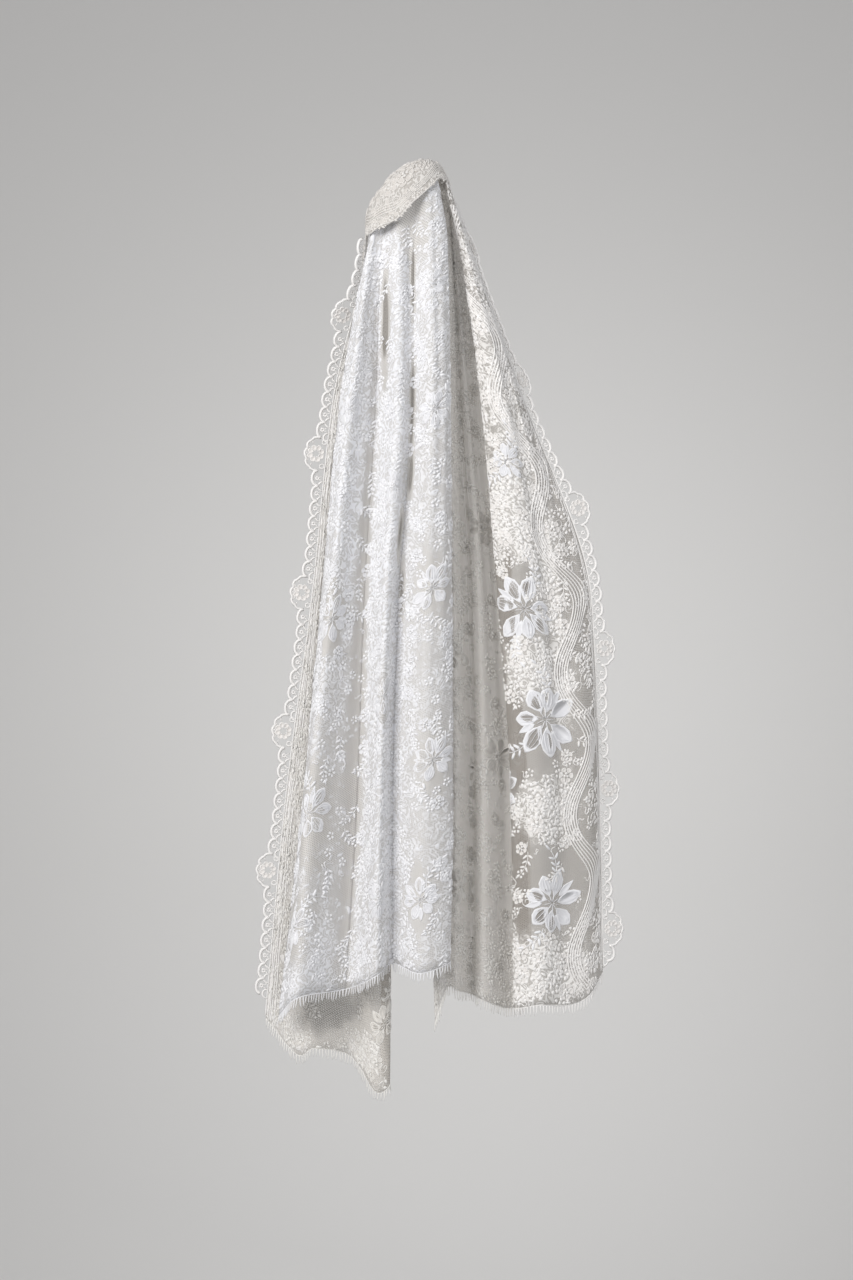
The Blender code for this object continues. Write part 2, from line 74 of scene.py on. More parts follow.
# The crown, by drop below its top, then how far it reaches left, right, back and front.
CROWN_SECTIONS = (
    (0.0, 0.0, 0.0, 50.0, 50.0),
    (3.0, -17.0, 10.0, 38.0, 64.0),
    (10.0, -33.0, 17.0, 30.0, 76.0),
    (19.0, -44.0, 22.0, 24.0, 84.0),
    (29.0, -55.0, 27.0, 18.0, 90.0),
    (42.0, -65.0, 30.0, 14.0, 94.0),
    (55.0, -74.0, 32.0, 12.0, 97.0),
    (68.0, -79.0, 34.0, 10.0, 99.0),
    (84.0, -81.0, 34.0, 10.0, 100.0),
    (104.0, -81.0, 34.0, 10.0, 100.0),
)
# The crown's rim, by angle and drop.
CROWN_RIM = (
    (0.0, 34.0), (12.0, 32.0), (45.0, 22.5), (60.0, 10.0), (90.0, 9.0), (112.0, 12.0),
    (135.0, 27.0), (160.0, 75.0), (180.0, 102.0), (230.0, 95.0), (255.0, 85.0),
    (275.0, 63.0), (295.0, 42.0), (320.0, 30.0),
)


class Tone(Enum):
    """Which of the three casts of the lace a piece has."""

    WHITE = "white_lace"
    CREAM = "cream_lace"
    # SHADED is a darker, warmer copy of the same lace: painted shade for the back layers.
    SHADED = "shaded_lace"


class Anchor(Enum):
    """Edge of a cloth from which its flat pattern is measured."""

    LEFT = "left"
    RIGHT = "right"


def linear(hex_colour: str) -> tuple[float, float, float, float]:
    """Turn an sRGB hex value into a linear colour.

    Args:
        hex_colour: Six digits after a hash.

    Returns:
        Red, green, blue and an alpha of one.
    """
    values = []
    for start in (1, 3, 5):
        part = int(hex_colour[start:start + 2], 16) / 255.0
        values.append(part / 12.92 if part <= 0.04045 else ((part + 0.055) / 1.055) ** 2.4)
    return values[0], values[1], values[2], 1.0


def add_node(tree: Tree, kind: str, settings: dict, links: dict) -> bpy.types.Node:
    """Add one shader node with its settings and links.

    Args:
        tree: Node tree that gets the node.
        kind: Blender's name of the node type.
        settings: Attributes by name, and values of inputs by number or input name.
        links: Output sockets by the number or name of the input they go to.

    Returns:
        The new node.
    """
    node = tree.nodes.new(kind)
    for key, value in settings.items():
        if isinstance(key, int) or key in node.inputs:
            node.inputs[key].default_value = value
        else:
            setattr(node, key, value)
    for key, socket in links.items():
        tree.links.new(socket, node.inputs[key])
    return node


def unit(vectors: np.ndarray) -> np.ndarray:
    """Scale vectors to length one."""
    return vectors / np.maximum(np.linalg.norm(vectors, axis=-1, keepdims=True), 1e-12)


def index_at(value: float, rising: np.ndarray) -> float:
    """Number, with its share, of the place where rising values reach a value."""
    return float(np.interp(value, rising, np.arange(len(rising))))


def offset(at: Spot, way: float, reach: float) -> Spot:
    """Flat place so far from another, at an angle from straight down."""
    return at[0] + reach * math.sin(way), at[1] + reach * math.cos(way)


def spokes(count: int, turn: float) -> list[float]:
    """Angles of so many spokes, evenly round, from a first one."""
    return [turn + FULL_TURN * number / count for number in range(count)]


def arc_lengths(points: np.ndarray) -> np.ndarray:
    """Distance along each row of points from its first."""
    steps = np.linalg.norm(np.diff(points, axis=-2), axis=-1)
    return np.concatenate([np.zeros(steps.shape[:-1] + (1,)), np.cumsum(steps, axis=-1)], axis=-1)


def read_line(at: np.ndarray, arcs: np.ndarray, values: np.ndarray) -> np.ndarray:
    """Read vectors along a line at distances along it."""
    return np.stack([np.interp(at, arcs, values[:, k]) for k in range(3)], axis=-1)


def monotone_slopes(knots: np.ndarray, values: np.ndarray) -> np.ndarray:
    """Slopes of a smooth curve through the knots that never overshoots them.

    Args:
        knots: Rising positions.
        values: Value at each knot.

    Returns:
        Slope at each knot.
    """
    rates = np.diff(values) / np.diff(knots)
    slopes = np.empty(len(knots))
    slopes[0] = rates[0]
    slopes[-1] = rates[-1]
    product = rates[:-1] * rates[1:]
    total = np.where(product > 0.0, rates[:-1] + rates[1:], 1.0)
    slopes[1:-1] = np.where(product > 0.0, 2.0 * product / total, 0.0)
    return slopes


def curve_at(knots: Sequence[float], values: Sequence[float], at: np.ndarray,
             first_slope: Optional[float] = None) -> np.ndarray:
    """Value of a smooth curve through the knots.

    Args:
        knots: Rising positions.
        values: Value at each knot.
        at: Positions to read.
        first_slope: Slope at the first knot, where it is known.

    Returns:
        Values at those positions.
    """
    places = np.asarray(knots, float)
    heights = np.asarray(values, float)
    slopes = monotone_slopes(places, heights)
    if first_slope is not None:
        slopes[0] = first_slope
    at = np.clip(at, places[0], places[-1])
    cell = np.clip(np.searchsorted(places, at, side="right") - 1, 0, len(places) - 2)
    width = places[cell + 1] - places[cell]
    share = (at - places[cell]) / width
    square = share * share
    cube = square * share
    start = (2.0 * cube - 3.0 * square + 1.0) * heights[cell]
    end = (3.0 * square - 2.0 * cube) * heights[cell + 1]
    lean_in = (cube - 2.0 * square + share) * width * slopes[cell]
    lean_out = (cube - square) * width * slopes[cell + 1]
    return start + end + lean_in + lean_out


def to_world(points: np.ndarray) -> np.ndarray:
    """World metres from x, depth and drop in millimetres."""
    return np.stack([points[..., 0], -points[..., 1], APEX - points[..., 2]], axis=-1) * MM


def rim_drop(angle: np.ndarray) -> np.ndarray:
    """Drop of the crown's rim at angles in degrees."""
    angles = [row[0] for row in CROWN_RIM]
    drops = [row[1] for row in CROWN_RIM]
    knots = [a - 360.0 for a in angles[-3:]] + angles + [a + 360.0 for a in angles[:3]]
    return curve_at(knots, drops[-3:] + drops + drops[:3], np.mod(angle, 360.0))


def crown_point(angle: np.ndarray, drop: np.ndarray) -> np.ndarray:
    """Point on the crown's cloth.

    Args:
        angle: Degrees round the crown, 0 at the right and 90 at the wall side.
        drop: Millimetres below the crown's top.

    Returns:
        Points as x, depth and drop.
    """
    reach = np.sqrt(np.maximum(drop, 0.0))
    knots = [math.sqrt(row[0]) for row in CROWN_SECTIONS]
    left, right, back, front = (
        curve_at(knots, [row[column] for row in CROWN_SECTIONS], reach) for column in (1, 2, 3, 4)
    )
    turn = np.radians(angle)
    x = (left + right) / 2.0 + (right - left) / 2.0 * np.cos(turn)
    depth = (back + front) / 2.0 - (front - back) / 2.0 * np.sin(turn)
    return np.stack([x, depth, drop + 0.0 * x], axis=-1)


def crown_normal(angle: np.ndarray, drop: np.ndarray) -> np.ndarray:
    """Unit vectors out of the crown."""
    along = crown_point(angle + 0.5, drop) - crown_point(angle - 0.5, drop)
    down = crown_point(angle, drop + 0.2) - crown_point(angle, np.maximum(drop - 0.2, 0.0))
    normal = unit(np.cross(along, down))
    centre = (crown_point(0.0 * angle, drop) + crown_point(0.0 * angle + 180.0, drop)) / 2.0
    facing = np.sum(normal * (crown_point(angle, drop) - centre), axis=-1, keepdims=True)
    return np.where(facing < 0.0, -normal, normal)


@dataclass(frozen=True)
class Free:
    """Top of a fold line that starts inside the crown."""

    x: float
    depth: float
    drop: float

    def start(self) -> tuple[np.ndarray, None]:
        """First point, with no slope set."""
        return np.array([self.x, self.depth, self.drop]), None


@dataclass(frozen=True)
class Tuck:
    """Top of a fold line that is tucked under the crown's cloth."""

    angle: float
    drop: float

    def start(self) -> tuple[np.ndarray, None]:
        """First point, with no slope set."""
        place = np.array(self.angle), np.array(self.drop)
        return crown_point(*place) - TUCK_GAP * crown_normal(*place), None


@dataclass(frozen=True)
class Rim:
    """Top of a fold line that leaves the crown's rim."""

    angle: float

    def start(self) -> tuple[np.ndarray, np.ndarray]:
        """First point, with its slopes across and in depth."""
        angle = np.array(self.angle)
        drop = rim_drop(angle)
        down = crown_point(angle, drop - 0.1) - crown_point(angle, drop - 2.1)
        ahead = crown_point(angle + 1.0, rim_drop(angle + 1.0))
        behind = crown_point(angle - 1.0, rim_drop(angle - 1.0))
        slant = float(np.dot(unit(down), unit(ahead - behind)))
        step = RIM_SEAM / math.sqrt(max(0.05, 1.0 - slant * slant))
        return crown_point(angle, drop) + step * unit(down), down / down[2]


@dataclass(frozen=True)
class Fold:
    """One fold line of a fall, from its top to its hem.

    The values across and in depth stand at the four levels and at the hem.
    """

    top: Free | Tuck | Rim
    hem: float
    across: tuple[Optional[float], ...]
    depth: tuple[Optional[float], ...]

    def points(self, along: np.ndarray) -> np.ndarray:
        """Points of the fold line at shares of its length, as x, depth and drop."""
        start, slopes = self.top.start()
        knots = [float(start[2])]
        xs = [float(start[0])]
        ds = [float(start[1])]
        for level, x, depth in zip(LEVELS + (self.hem,), self.across, self.depth):
            if x is not None:
                knots.append(level)
                xs.append(x)
                ds.append(depth)
        drops = start[2] + (self.hem - start[2]) * along ** 1.6
        x = curve_at(knots, xs, drops, None if slopes is None else float(slopes[0]))
        depth = curve_at(knots, ds, drops, None if slopes is None else float(slopes[1]))
        return np.stack([x, depth, drops], axis=-1)


@dataclass(frozen=True)
class Crease:
    """One soft ridge or trough that runs down a fall.

    Attributes:
        across: Fold number that it lies beside, with its share to the next.
        width: Its half width, in the same count.
        start: Share of the length where it begins.
        end: Share of the length where it fades out.
        height: Millimetres that it stands out, or in where it is negative.
        drift: How far it wanders across on its way down, in folds.
    """

    across: float
    width: float
    start: float
    end: float
    height: float
    drift: float = 0.0

    def lift(self, across: np.ndarray, along: np.ndarray) -> np.ndarray:
        """Height of this crease over a cloth."""
        share = np.clip((along - self.start) / (self.end - self.start), 0.0, 1.0)
        run = np.sin(math.pi * share ** 0.7)
        middle = self.across + self.drift * share
        away = (across - middle) / self.width
        return self.height * run * np.exp(-away * away)


@dataclass
class Cloth:
    """A rounded surface through fold lines, with its creases."""

    folds: tuple[Fold, ...]
    creases: tuple[Crease, ...] = ()

    def plain(self, across: np.ndarray, along: np.ndarray) -> np.ndarray:
        """Points of the cloth before its creases."""
        lines = np.stack([fold.points(along) for fold in self.folds])
        before = 2.0 * lines[:1] - lines[1:2]
        after = 2.0 * lines[-1:] - lines[-2:-1]
        lines = np.concatenate([before, lines, after])
        cell = np.clip(np.floor(across).astype(int), 0, len(self.folds) - 2)
        share = (across - cell)[..., None]
        near = [np.take_along_axis(lines, (cell + k)[None, ..., None], axis=0)[0]
                for k in range(4)]
        lean = (near[2] - near[0]) * share
        bend = (2.0 * near[0] - 5.0 * near[1] + 4.0 * near[2] - near[3]) * share ** 2
        twist = (3.0 * near[1] - near[0] - 3.0 * near[2] + near[3]) * share ** 3
        return 0.5 * (2.0 * near[1] + lean + bend + twist)

    def at(self, across: np.ndarray, along: np.ndarray) -> tuple[np.ndarray, np.ndarray]:
        """Points and normals of the cloth.

        Args:
            across: Places in fold numbers.
            along: Shares of the length.

        Returns:
            Points as x, depth and drop, and unit normals towards the viewer's side.
        """
        step = 2e-3
        point = self.plain(across, along)
        right = self.plain(across + step, along) - self.plain(across - step, along)
        low = np.clip(along + step, 0.0, 1.0)
        high = np.clip(along - step, 0.0, 1.0)
        down = self.plain(across, low) - self.plain(across, high)
        normal = -unit(np.cross(right, down))
        lift = np.zeros(point.shape[:-1])
        for crease in self.creases:
            lift = lift + crease.lift(across, along)
        return point + normal * lift[..., None], normal


@dataclass
class FlatMap:
    """Finds where a flat place of the pattern hangs, from a grid of the hung cloth."""

    points: np.ndarray
    normals: np.ndarray
    folds: np.ndarray
    anchor: Anchor = Anchor.LEFT
    pitch: float = 1.5
    row_pitch: float = 3.0

    def __post_init__(self) -> None:
        """Resample the grid at even steps across and down."""
        arcs = arc_lengths(self.points)
        column = 0
        if self.anchor is Anchor.RIGHT:
            arcs = arcs - arcs[:, -1:]
            column = -1
        rows = arc_lengths(self.points[:, column])
        self.arcs = arcs
        self.length = float(rows[-1])
        self.row_arcs = rows
        self.low = float(arcs.min())
        self.high = float(arcs.max())
        even = np.arange(self.low, self.high + self.pitch, self.pitch)
        places = np.stack([read_line(even, *pair) for pair in zip(arcs, self.points)])
        normals = np.stack([read_line(even, *pair) for pair in zip(arcs, self.normals)])
        inside = (even >= arcs[:, :1] - 0.4) & (even <= arcs[:, -1:] + 0.4)
        down = np.arange(0.0, self.length + self.row_pitch, self.row_pitch)
        index = np.interp(down, rows, np.arange(len(rows)))
        low = np.clip(np.floor(index).astype(int), 0, len(rows) - 2)
        share = (index - low)[:, None, None]
        self.places, self.facing, self.inside = (
            grid[low] * (1.0 - share) + grid[low + 1] * share
            for grid in (places, normals, inside[..., None].astype(float))
        )

    def spot(self, fold: float, drop: float) -> Spot:
        """Find the flat place of a spot given by its fold line and its drop.

        Args:
            fold: Fold number, with its share to the next.
            drop: Millimetres below the crown's top.

        Returns:
            Millimetres from the anchored edge, and from the top.
        """
        column = index_at(fold, self.folds)
        near = int(round(column))
        row = index_at(drop, self.points[:, near, 2])
        low = min(int(row), len(self.arcs) - 2)
        share = row - low
        arcs = self.arcs[low] * (1.0 - share) + self.arcs[low + 1] * share
        across = float(np.interp(column, np.arange(len(arcs)), arcs))
        return across, float(np.interp(row, np.arange(len(self.row_arcs)), self.row_arcs))

    def place(self, across: float, down: float) -> Spot:
        """Find the fold number and the drop of a flat place."""
        near = int(round(index_at(down, self.row_arcs)))
        fold = float(np.interp(across, self.arcs[near], self.folds))
        column = int(round(index_at(fold, self.folds)))
        return fold, float(self.points[near, column, 2])

    def hang(self, across: np.ndarray, down: np.ndarray) -> Hung:
        """Find where flat places hang.

        Args:
            across: Millimetres from the anchored edge.
            down: Millimetres from the top.

        Returns:
            Points, unit normals, and whether each place lies on the cloth.
        """
        column = np.clip((across - self.low) / self.pitch, 0.0, self.places.shape[1] - 1.001)
        row = np.clip(down / self.row_pitch, 0.0, self.places.shape[0] - 1.001)
        c = column.astype(int)
        r = row.astype(int)
        u = (column - c)[..., None]
        v = (row - r)[..., None]

        def blend(grid: np.ndarray) -> np.ndarray:
            """Read a grid between its points."""
            upper = grid[r, c] * (1.0 - u) + grid[r, c + 1] * u
            lower = grid[r + 1, c] * (1.0 - u) + grid[r + 1, c + 1] * u
            return upper * (1.0 - v) + lower * v

        inside = blend(self.inside)[..., 0] > 0.6
        inside &= (down > 0.5) & (down < self.length - 0.5)
        return blend(self.places), unit(blend(self.facing)), inside


@dataclass
class EdgeMap:
    """Flat map of a border: so far along an edge, and so far out from it."""

    line: np.ndarray
    outward: np.ndarray
    normals: np.ndarray
    top_share: float
    growth: float

    def __post_init__(self) -> None:
        """Measure the edge."""
        self.arcs = arc_lengths(self.line)
        self.length = float(self.arcs[-1])

    def hang(self, across: np.ndarray, down: np.ndarray) -> Hung:
        """Find where places of the border hang.

        Args:
            across: Millimetres out from the edge.
            down: Millimetres along the edge from the top.

        Returns:
            Points, unit normals, and whether each place lies on the border.
        """
        root, out, normal = (read_line(down, self.arcs, values)
                             for values in (self.line, self.outward, self.normals))
        grown = np.minimum(1.0, self.top_share + (1.0 - self.top_share) * down / self.growth)
        point = root + unit(out) * (across * grown)[..., None]
        return point, unit(normal), (down >= 0.0) & (down <= self.length)


@dataclass(frozen=True)
class Patch:
    """A small stitched shape, flat and closed, about one unit long."""

    points: np.ndarray
    faces: tuple[tuple[int, ...], ...]
    cord: np.ndarray


def start_patch(sides: int, name: str) -> Piece:
    """Start a patch as a flat disc one unit across, open for editing."""
    bpy.ops.object.select_all(action="DESELECT")
    bpy.ops.mesh.primitive_circle_add(vertices=sides, radius=0.5, fill_type="NGON")
    shape = bpy.context.object
    shape.name = name
    bpy.ops.object.mode_set(mode="EDIT")
    bpy.ops.mesh.select_all(action="SELECT")
    return shape


def model_patch(sides: int, rim: float, dish: float, name: str) -> Patch:
    """Model a round stitched patch with a raised cord round a sunk middle.

    Args:
        sides: Corners of its outline.
        rim: Width of the cord, where the patch is one unit across.
        dish: How far the middle lies below the cord.
        name: Working name of the patch.

    Returns:
        The patch, one unit across and standing up to one unit high.
    """
    shape = start_patch(sides, name)
    bpy.ops.mesh.extrude_region_move(TRANSFORM_OT_translate={"value": (0.0, 0.0, 0.4)})
    bpy.ops.mesh.inset(thickness=rim / 2.0)
    bpy.ops.transform.translate(value=(0.0, 0.0, 0.6))
    bpy.ops.mesh.inset(thickness=rim / 2.0)
    bpy.ops.transform.translate(value=(0.0, 0.0, -dish))
    bpy.ops.object.mode_set(mode="OBJECT")
    return read_patch(shape)


def model_small_patch(sides: int, share: float, name: str) -> Patch:
    """Model a small domed patch with few faces.

    Args:
        sides: Corners of its outline.
        share: Width of its top, as a share of its foot.
        name: Working name of the patch.

    Returns:
        The patch, one unit across and one unit high.
    """
    shape = start_patch(sides, name)
    bpy.ops.mesh.extrude_region_move(TRANSFORM_OT_translate={"value": (0.0, 0.0, 1.0)})
    bpy.ops.transform.resize(value=(share, share, 1.0))
    bpy.ops.object.mode_set(mode="OBJECT")
    patch = read_patch(shape)
    return Patch(patch.points, patch.faces, 0.35 + 0.65 * patch.cord)


def read_patch(shape: Piece) -> Patch:
    """Take a modelled patch's points and faces, closed below, and remove its object."""
    mesh = shape.data
    points = np.array([tuple(v.co) for v in mesh.vertices])
    faces = tuple(tuple(face.vertices) for face in mesh.polygons)
    bottom = points[:, 2] < 0.01
    if not any(all(bottom[i] for i in face) for face in faces):
        ring = [i for i in range(len(points)) if bottom[i]]
        ring.sort(key=lambda i: -math.atan2(points[i, 1], points[i, 0]))
        faces = faces + (tuple(ring),)
    bpy.data.objects.remove(shape, do_unlink=True)
    bpy.data.meshes.remove(mesh)
    return Patch(points, faces, (points[:, 2] > 0.99).astype(float))


def shaped(patch: Patch, profile: Callable[[np.ndarray], np.ndarray]) -> Patch:
    """Shape a round patch along its length.

    Args:
        patch: The round patch.
        profile: Half width, against the share of its length.

    Returns:
        A patch that starts at the origin and points along +Y.
    """
    points = patch.points.copy()
    share = points[:, 1] + 0.5
    edge = np.sqrt(np.maximum(0.25 - (share - 0.5) ** 2, 1e-6))
    points[:, 0] = points[:, 0] / edge * profile(np.clip(share, 0.0, 1.0))
    points[:, 1] = share
    return Patch(points, patch.faces, patch.cord)


def petal_profile(share: np.ndarray) -> np.ndarray:
    """Half width of a petal that is widest beyond its middle."""
    return 0.5 * np.sin(math.pi * np.clip(share, 0.02, 0.97) ** 1.5) ** 0.75


def lily_profile(share: np.ndarray) -> np.ndarray:
    """Half width of a lily's petal: narrow at its root, full in the middle, pointed."""
    return 0.5 * np.sin(math.pi * np.clip(share, 0.03, 0.985) ** 1.25) ** 0.85


def leaf_profile(share: np.ndarray) -> np.ndarray:
    """Half width of a pointed leaf."""
    return 0.5 * np.sin(math.pi * np.clip(share, 0.03, 0.985) ** 0.85) ** 1.1


def new_piece(name: str, points: np.ndarray, faces: Sequence[tuple[int, ...]],
              material: Material) -> Piece:
    """Make a smooth mesh piece.

    Args:
        name: Name of the piece.
        points: Its points in world metres.
        faces: Corner numbers of its faces.
        material: What it is made of.

    Returns:
        The piece, in the scene.
    """
    mesh = bpy.data.meshes.new(name)
    mesh.from_pydata(points.tolist(), [], faces)
    mesh.polygons.foreach_set("use_smooth", [True] * len(mesh.polygons))
    mesh.materials.append(material)
    mesh.update()
    piece = bpy.data.objects.new(name, mesh)
    bpy.context.scene.collection.objects.link(piece)
    return piece


def set_values(piece: Piece, name: str, values: np.ndarray) -> None:
    """Give each point of a piece a number that its material reads."""
    layer = piece.data.attributes.new(name, "FLOAT", "POINT")
    layer.data.foreach_set("value", values.astype(np.float32).ravel())


def new_net(name: str, points: np.ndarray, faces: Sequence[tuple[int, ...]], flat: np.ndarray,
            cover: np.ndarray, material: Material) -> Piece:
    """Make a sheet of net.

    Args:
        name: Name of the piece.
        points: Its points as x, depth and drop.
        faces: Corner numbers of its faces.
        flat: Flat place of each point in millimetres, kept as the UV map "flat".
        cover: How much of the net is filled at each point, kept as "milk".
        material: The net's material.

    Returns:
        The sheet, with no thickness yet.
    """
    piece = new_piece(name, to_world(points.reshape(-1, 3)), faces, material)
    corners = np.empty(len(piece.data.loops), dtype=np.int32)
    piece.data.loops.foreach_get("vertex_index", corners)
    layer = piece.data.uv_layers.new(name="flat")
    layer.data.foreach_set("uv", (flat.reshape(-1, 2)[corners] * MM).ravel())
    set_values(piece, "milk", cover)
    return piece


def select_only(piece: Piece) -> None:
    """Make a piece the only selected and the active one."""
    bpy.ops.object.select_all(action="DESELECT")
    piece.select_set(True)
    bpy.context.view_layer.objects.active = piece


def outward_faces(piece: Piece) -> None:
    """Turn every face of a closed piece outwards."""
    select_only(piece)
    bpy.ops.object.mode_set(mode="EDIT")
    bpy.ops.mesh.select_all(action="SELECT")
    bpy.ops.mesh.normals_make_consistent(inside=False)
    bpy.ops.object.mode_set(mode="OBJECT")


def thin_shell(piece: Piece) -> None:
    """Give a sheet of net its thickness."""
    select_only(piece)
    bpy.ops.object.modifier_add(type="SOLIDIFY")
    wall = piece.modifiers[-1]
    wall.thickness = NET_WALL * MM
    wall.offset = 0.0
    bpy.ops.object.modifier_apply(modifier=wall.name)


@dataclass
class MeshBin:
    """Closed shapes gathered in millimetres and joined in one mesh."""

    points: list[np.ndarray] = field(default_factory=list)
    faces: list[tuple[int, ...]] = field(default_factory=list)
    tones: list[np.ndarray] = field(default_factory=list)
    total: int = 0

    def add(self, points: np.ndarray, faces: Sequence[tuple[int, ...]], tone: np.ndarray) -> None:
        """Add one closed shape.

        Args:
            points: Its points as x, depth and drop.
            faces: Corner numbers of its faces.
            tone: One number per point, 1 on cord and 0 on filling.
        """
        start = self.total
        self.points.append(points)
        self.tones.append(tone)
        self.faces.extend(tuple(i + start for i in face) for face in faces)
        self.total += len(points)

    def tube(self, path: np.ndarray, normal: np.ndarray, width: np.ndarray, height: float,
             foot: float) -> None:
        """Add a cord with four sides along a path.

        Args:
            path: Points that it follows.
            normal: Direction that it stands up in, at each point.
            width: Its width at each point.
            height: How far its top stands over the path.
            foot: How far it reaches below the path.
        """
        count = len(path)
        side = unit(np.cross(np.gradient(path, axis=0), normal)) * (width / 2.0)[:, None]
        rings = (path + side, path + normal * height, path - side, path - normal * foot)
        faces = [(0, count, 2 * count, 3 * count)]
        for a in range(count - 1):
            for k in range(4):
                p = k * count + a
                q = ((k + 1) % 4) * count + a
                faces.append((p, p + 1, q + 1, q))
        end = count - 1
        faces.append((3 * count + end, 2 * count + end, count + end, end))
        self.add(np.concatenate(rings), faces, np.ones(4 * count))

    def finish(self, name: str, material: Material) -> Piece:
        """Join the shapes in one piece.

        Args:
            name: Name of the piece.
            material: What it is made of.

        Returns:
            The piece, with its faces outwards.
        """
        piece = new_piece(name, to_world(np.concatenate(self.points)), self.faces, material)
        set_values(piece, "cord", np.concatenate(self.tones))
        outward_faces(piece)
        LOG.info("%s: %d shapes, %d faces", name, len(self.points), len(self.faces))
        return piece


@dataclass(frozen=True)
class Shapes:
    """The stitched shapes that every motif is made of."""

    petal: Patch
    leaf: Patch
    petalet: Patch
    leaflet: Patch
    lobe: Patch

    @staticmethod
    def model() -> "Shapes":
        """Model each shape once."""
        plain = model_patch(8, 0.16, 0.35, "stitched_patch")
        small = model_small_patch(6, 0.66, "small_stitched_patch")
        large = model_patch(12, 0.12, 0.45, "large_stitched_patch")
        return Shapes(shaped(plain, petal_profile), shaped(plain, leaf_profile),
                      shaped(small, petal_profile), shaped(small, leaf_profile),
                      shaped(large, lily_profile))


class Stitchery:
    """Stitched motifs laid out flat, then hung with one cloth."""

    def __init__(self, shapes: Shapes, seed: int) -> None:
        """Start with bare net.

        Args:
            shapes: The shapes that motifs are made of.
            seed: Start of its random numbers.
        """
        self.shapes = shapes
        self.rng = np.random.RandomState(seed)
        self.patches: list[tuple[np.ndarray, Patch]] = []
        self.threads: list[tuple[np.ndarray, np.ndarray, float]] = []

    def patch(self, shape: Patch, at: Spot, turn: float, width: float,
              length: float, height: float = 1.0) -> None:
        """Add one stitched shape.

        Args:
            shape: Shape to add.
            at: Where it starts, across and down.
            turn: Where it points, in radians from straight down.
            width: Its width in millimetres.
            length: Its length in millimetres.
            height: Height of its cord in millimetres.
        """
        x = shape.points[:, 0] * width
        y = shape.points[:, 1] * length
        c = math.cos(turn)
        s = math.sin(turn)
        z = shape.points[:, 2] * (height + 0.4) - 0.4
        flat = np.stack([at[0] + x * c + y * s, at[1] - x * s + y * c, z], axis=-1)
        self.patches.append((flat, shape))

    def thread(self, path: np.ndarray, width: float = 1.5, height: float = 0.9) -> None:
        """Add a raised cord along a flat path.

        Args:
            path: Points as across and down.
            width: Its width in millimetres.
            height: Its height in millimetres.
        """
        self.threads.append((np.asarray(path, float), np.full(len(path), width), height))

    def arc(self, at: Spot, radius: float, start: float, sweep: float,
            width: float = 1.5, grow: float = 0.0, points: int = 10) -> None:
        """Add a curved cord.

        Args:
            at: Middle of the curve.
            radius: Its radius in millimetres.
            start: Angle where it starts, in radians.
            sweep: Angle that it turns through.
            width: Width of the cord.
            grow: How much the radius grows by its end, as in a scroll.
            points: Number of points along it.
        """
        turns = start + sweep * np.linspace(0.0, 1.0, points)
        radii = radius + grow * np.linspace(0.0, 1.0, points)
        path = np.stack([at[0] + radii * np.cos(turns), at[1] + radii * np.sin(turns)], axis=-1)
        self.thread(path, width)

    def blossom(self, at: Spot, size: float) -> None:
        """Add a small open flower of five petals with a hole at its eye."""
        turn = self.rng.uniform(0.0, ANY_TURN)
        for way in spokes(5, turn):
            start = offset(at, way, 0.13 * size)
            self.patch(self.shapes.petalet, start, way, size * 0.42, size * 0.40, 0.9)

    def rose(self, at: Spot, size: float, relief: float = 1.0) -> None:
        """Add a full rose of two rounds of petals, standing out by its relief."""
        turn = self.rng.uniform(0.0, ANY_TURN)
        for way in spokes(6, turn):
            start = offset(at, way, 0.18 * size)
            self.patch(self.shapes.petal, start, way + 0.25, size * 0.42, size * 0.34, 1.1 * relief)
        for way in spokes(3, turn + 0.6):
            self.patch(self.shapes.petalet, at, way, size * 0.26, size * 0.22, 1.7 * relief)

    def bloom(self, at: Spot, size: float) -> None:
        """Add a large lily: broad and narrow petals round an open eye with stamens."""
        petals = 7
        turn = self.rng.uniform(0.0, ANY_TURN)
        for number, spoke in enumerate(spokes(petals, turn)):
            way = spoke + self.rng.uniform(-0.16, 0.16)
            reach = size * self.rng.uniform(0.32, 0.45)
            start = offset(at, way, 0.09 * size)
            width = size * self.rng.uniform(0.21, 0.27)
            self.patch(self.shapes.lobe, start, way, width, reach, 1.2)
            ahead = np.array([math.sin(way), math.cos(way)])
            aside = np.array([math.cos(way), -math.sin(way)]) * width
            share = np.linspace(0.25, 0.85, 5)[:, None]
            for lean in (-0.22, 0.0, 0.22):
                bow = lean * np.sin(math.pi * share)
                self.thread(np.array(start) + share * reach * ahead + bow * aside, 0.8, 1.5)
            if number % 2:
                between = way + math.pi / petals
                start = offset(at, between, 0.16 * size)
                self.patch(self.shapes.leaf, start, between, size * 0.11, reach * 0.8, 0.9)
        for way in spokes(9, turn):
            reach = np.linspace(0.02, 0.13, 4) * size
            path = np.stack([at[0] + reach * math.sin(way), at[1] + reach * math.cos(way)], axis=-1)
            self.thread(path, 0.9, 1.9)

    def curl(self, at: Spot, size: float) -> None:
        """Add a cord that winds like the letter S."""
        bend = self.rng.choice([-1.0, 1.0]) * self.rng.uniform(1.2, 2.4)
        share = np.linspace(-1.0, 1.0, 9)
        ways = self.rng.uniform(0.0, ANY_TURN) + bend * np.sin(math.pi * share)
        steps = np.stack([np.sin(ways), np.cos(ways)], axis=-1) * size / 8.0
        self.thread(np.array(at) + np.cumsum(steps, axis=0), 1.6, 0.9)

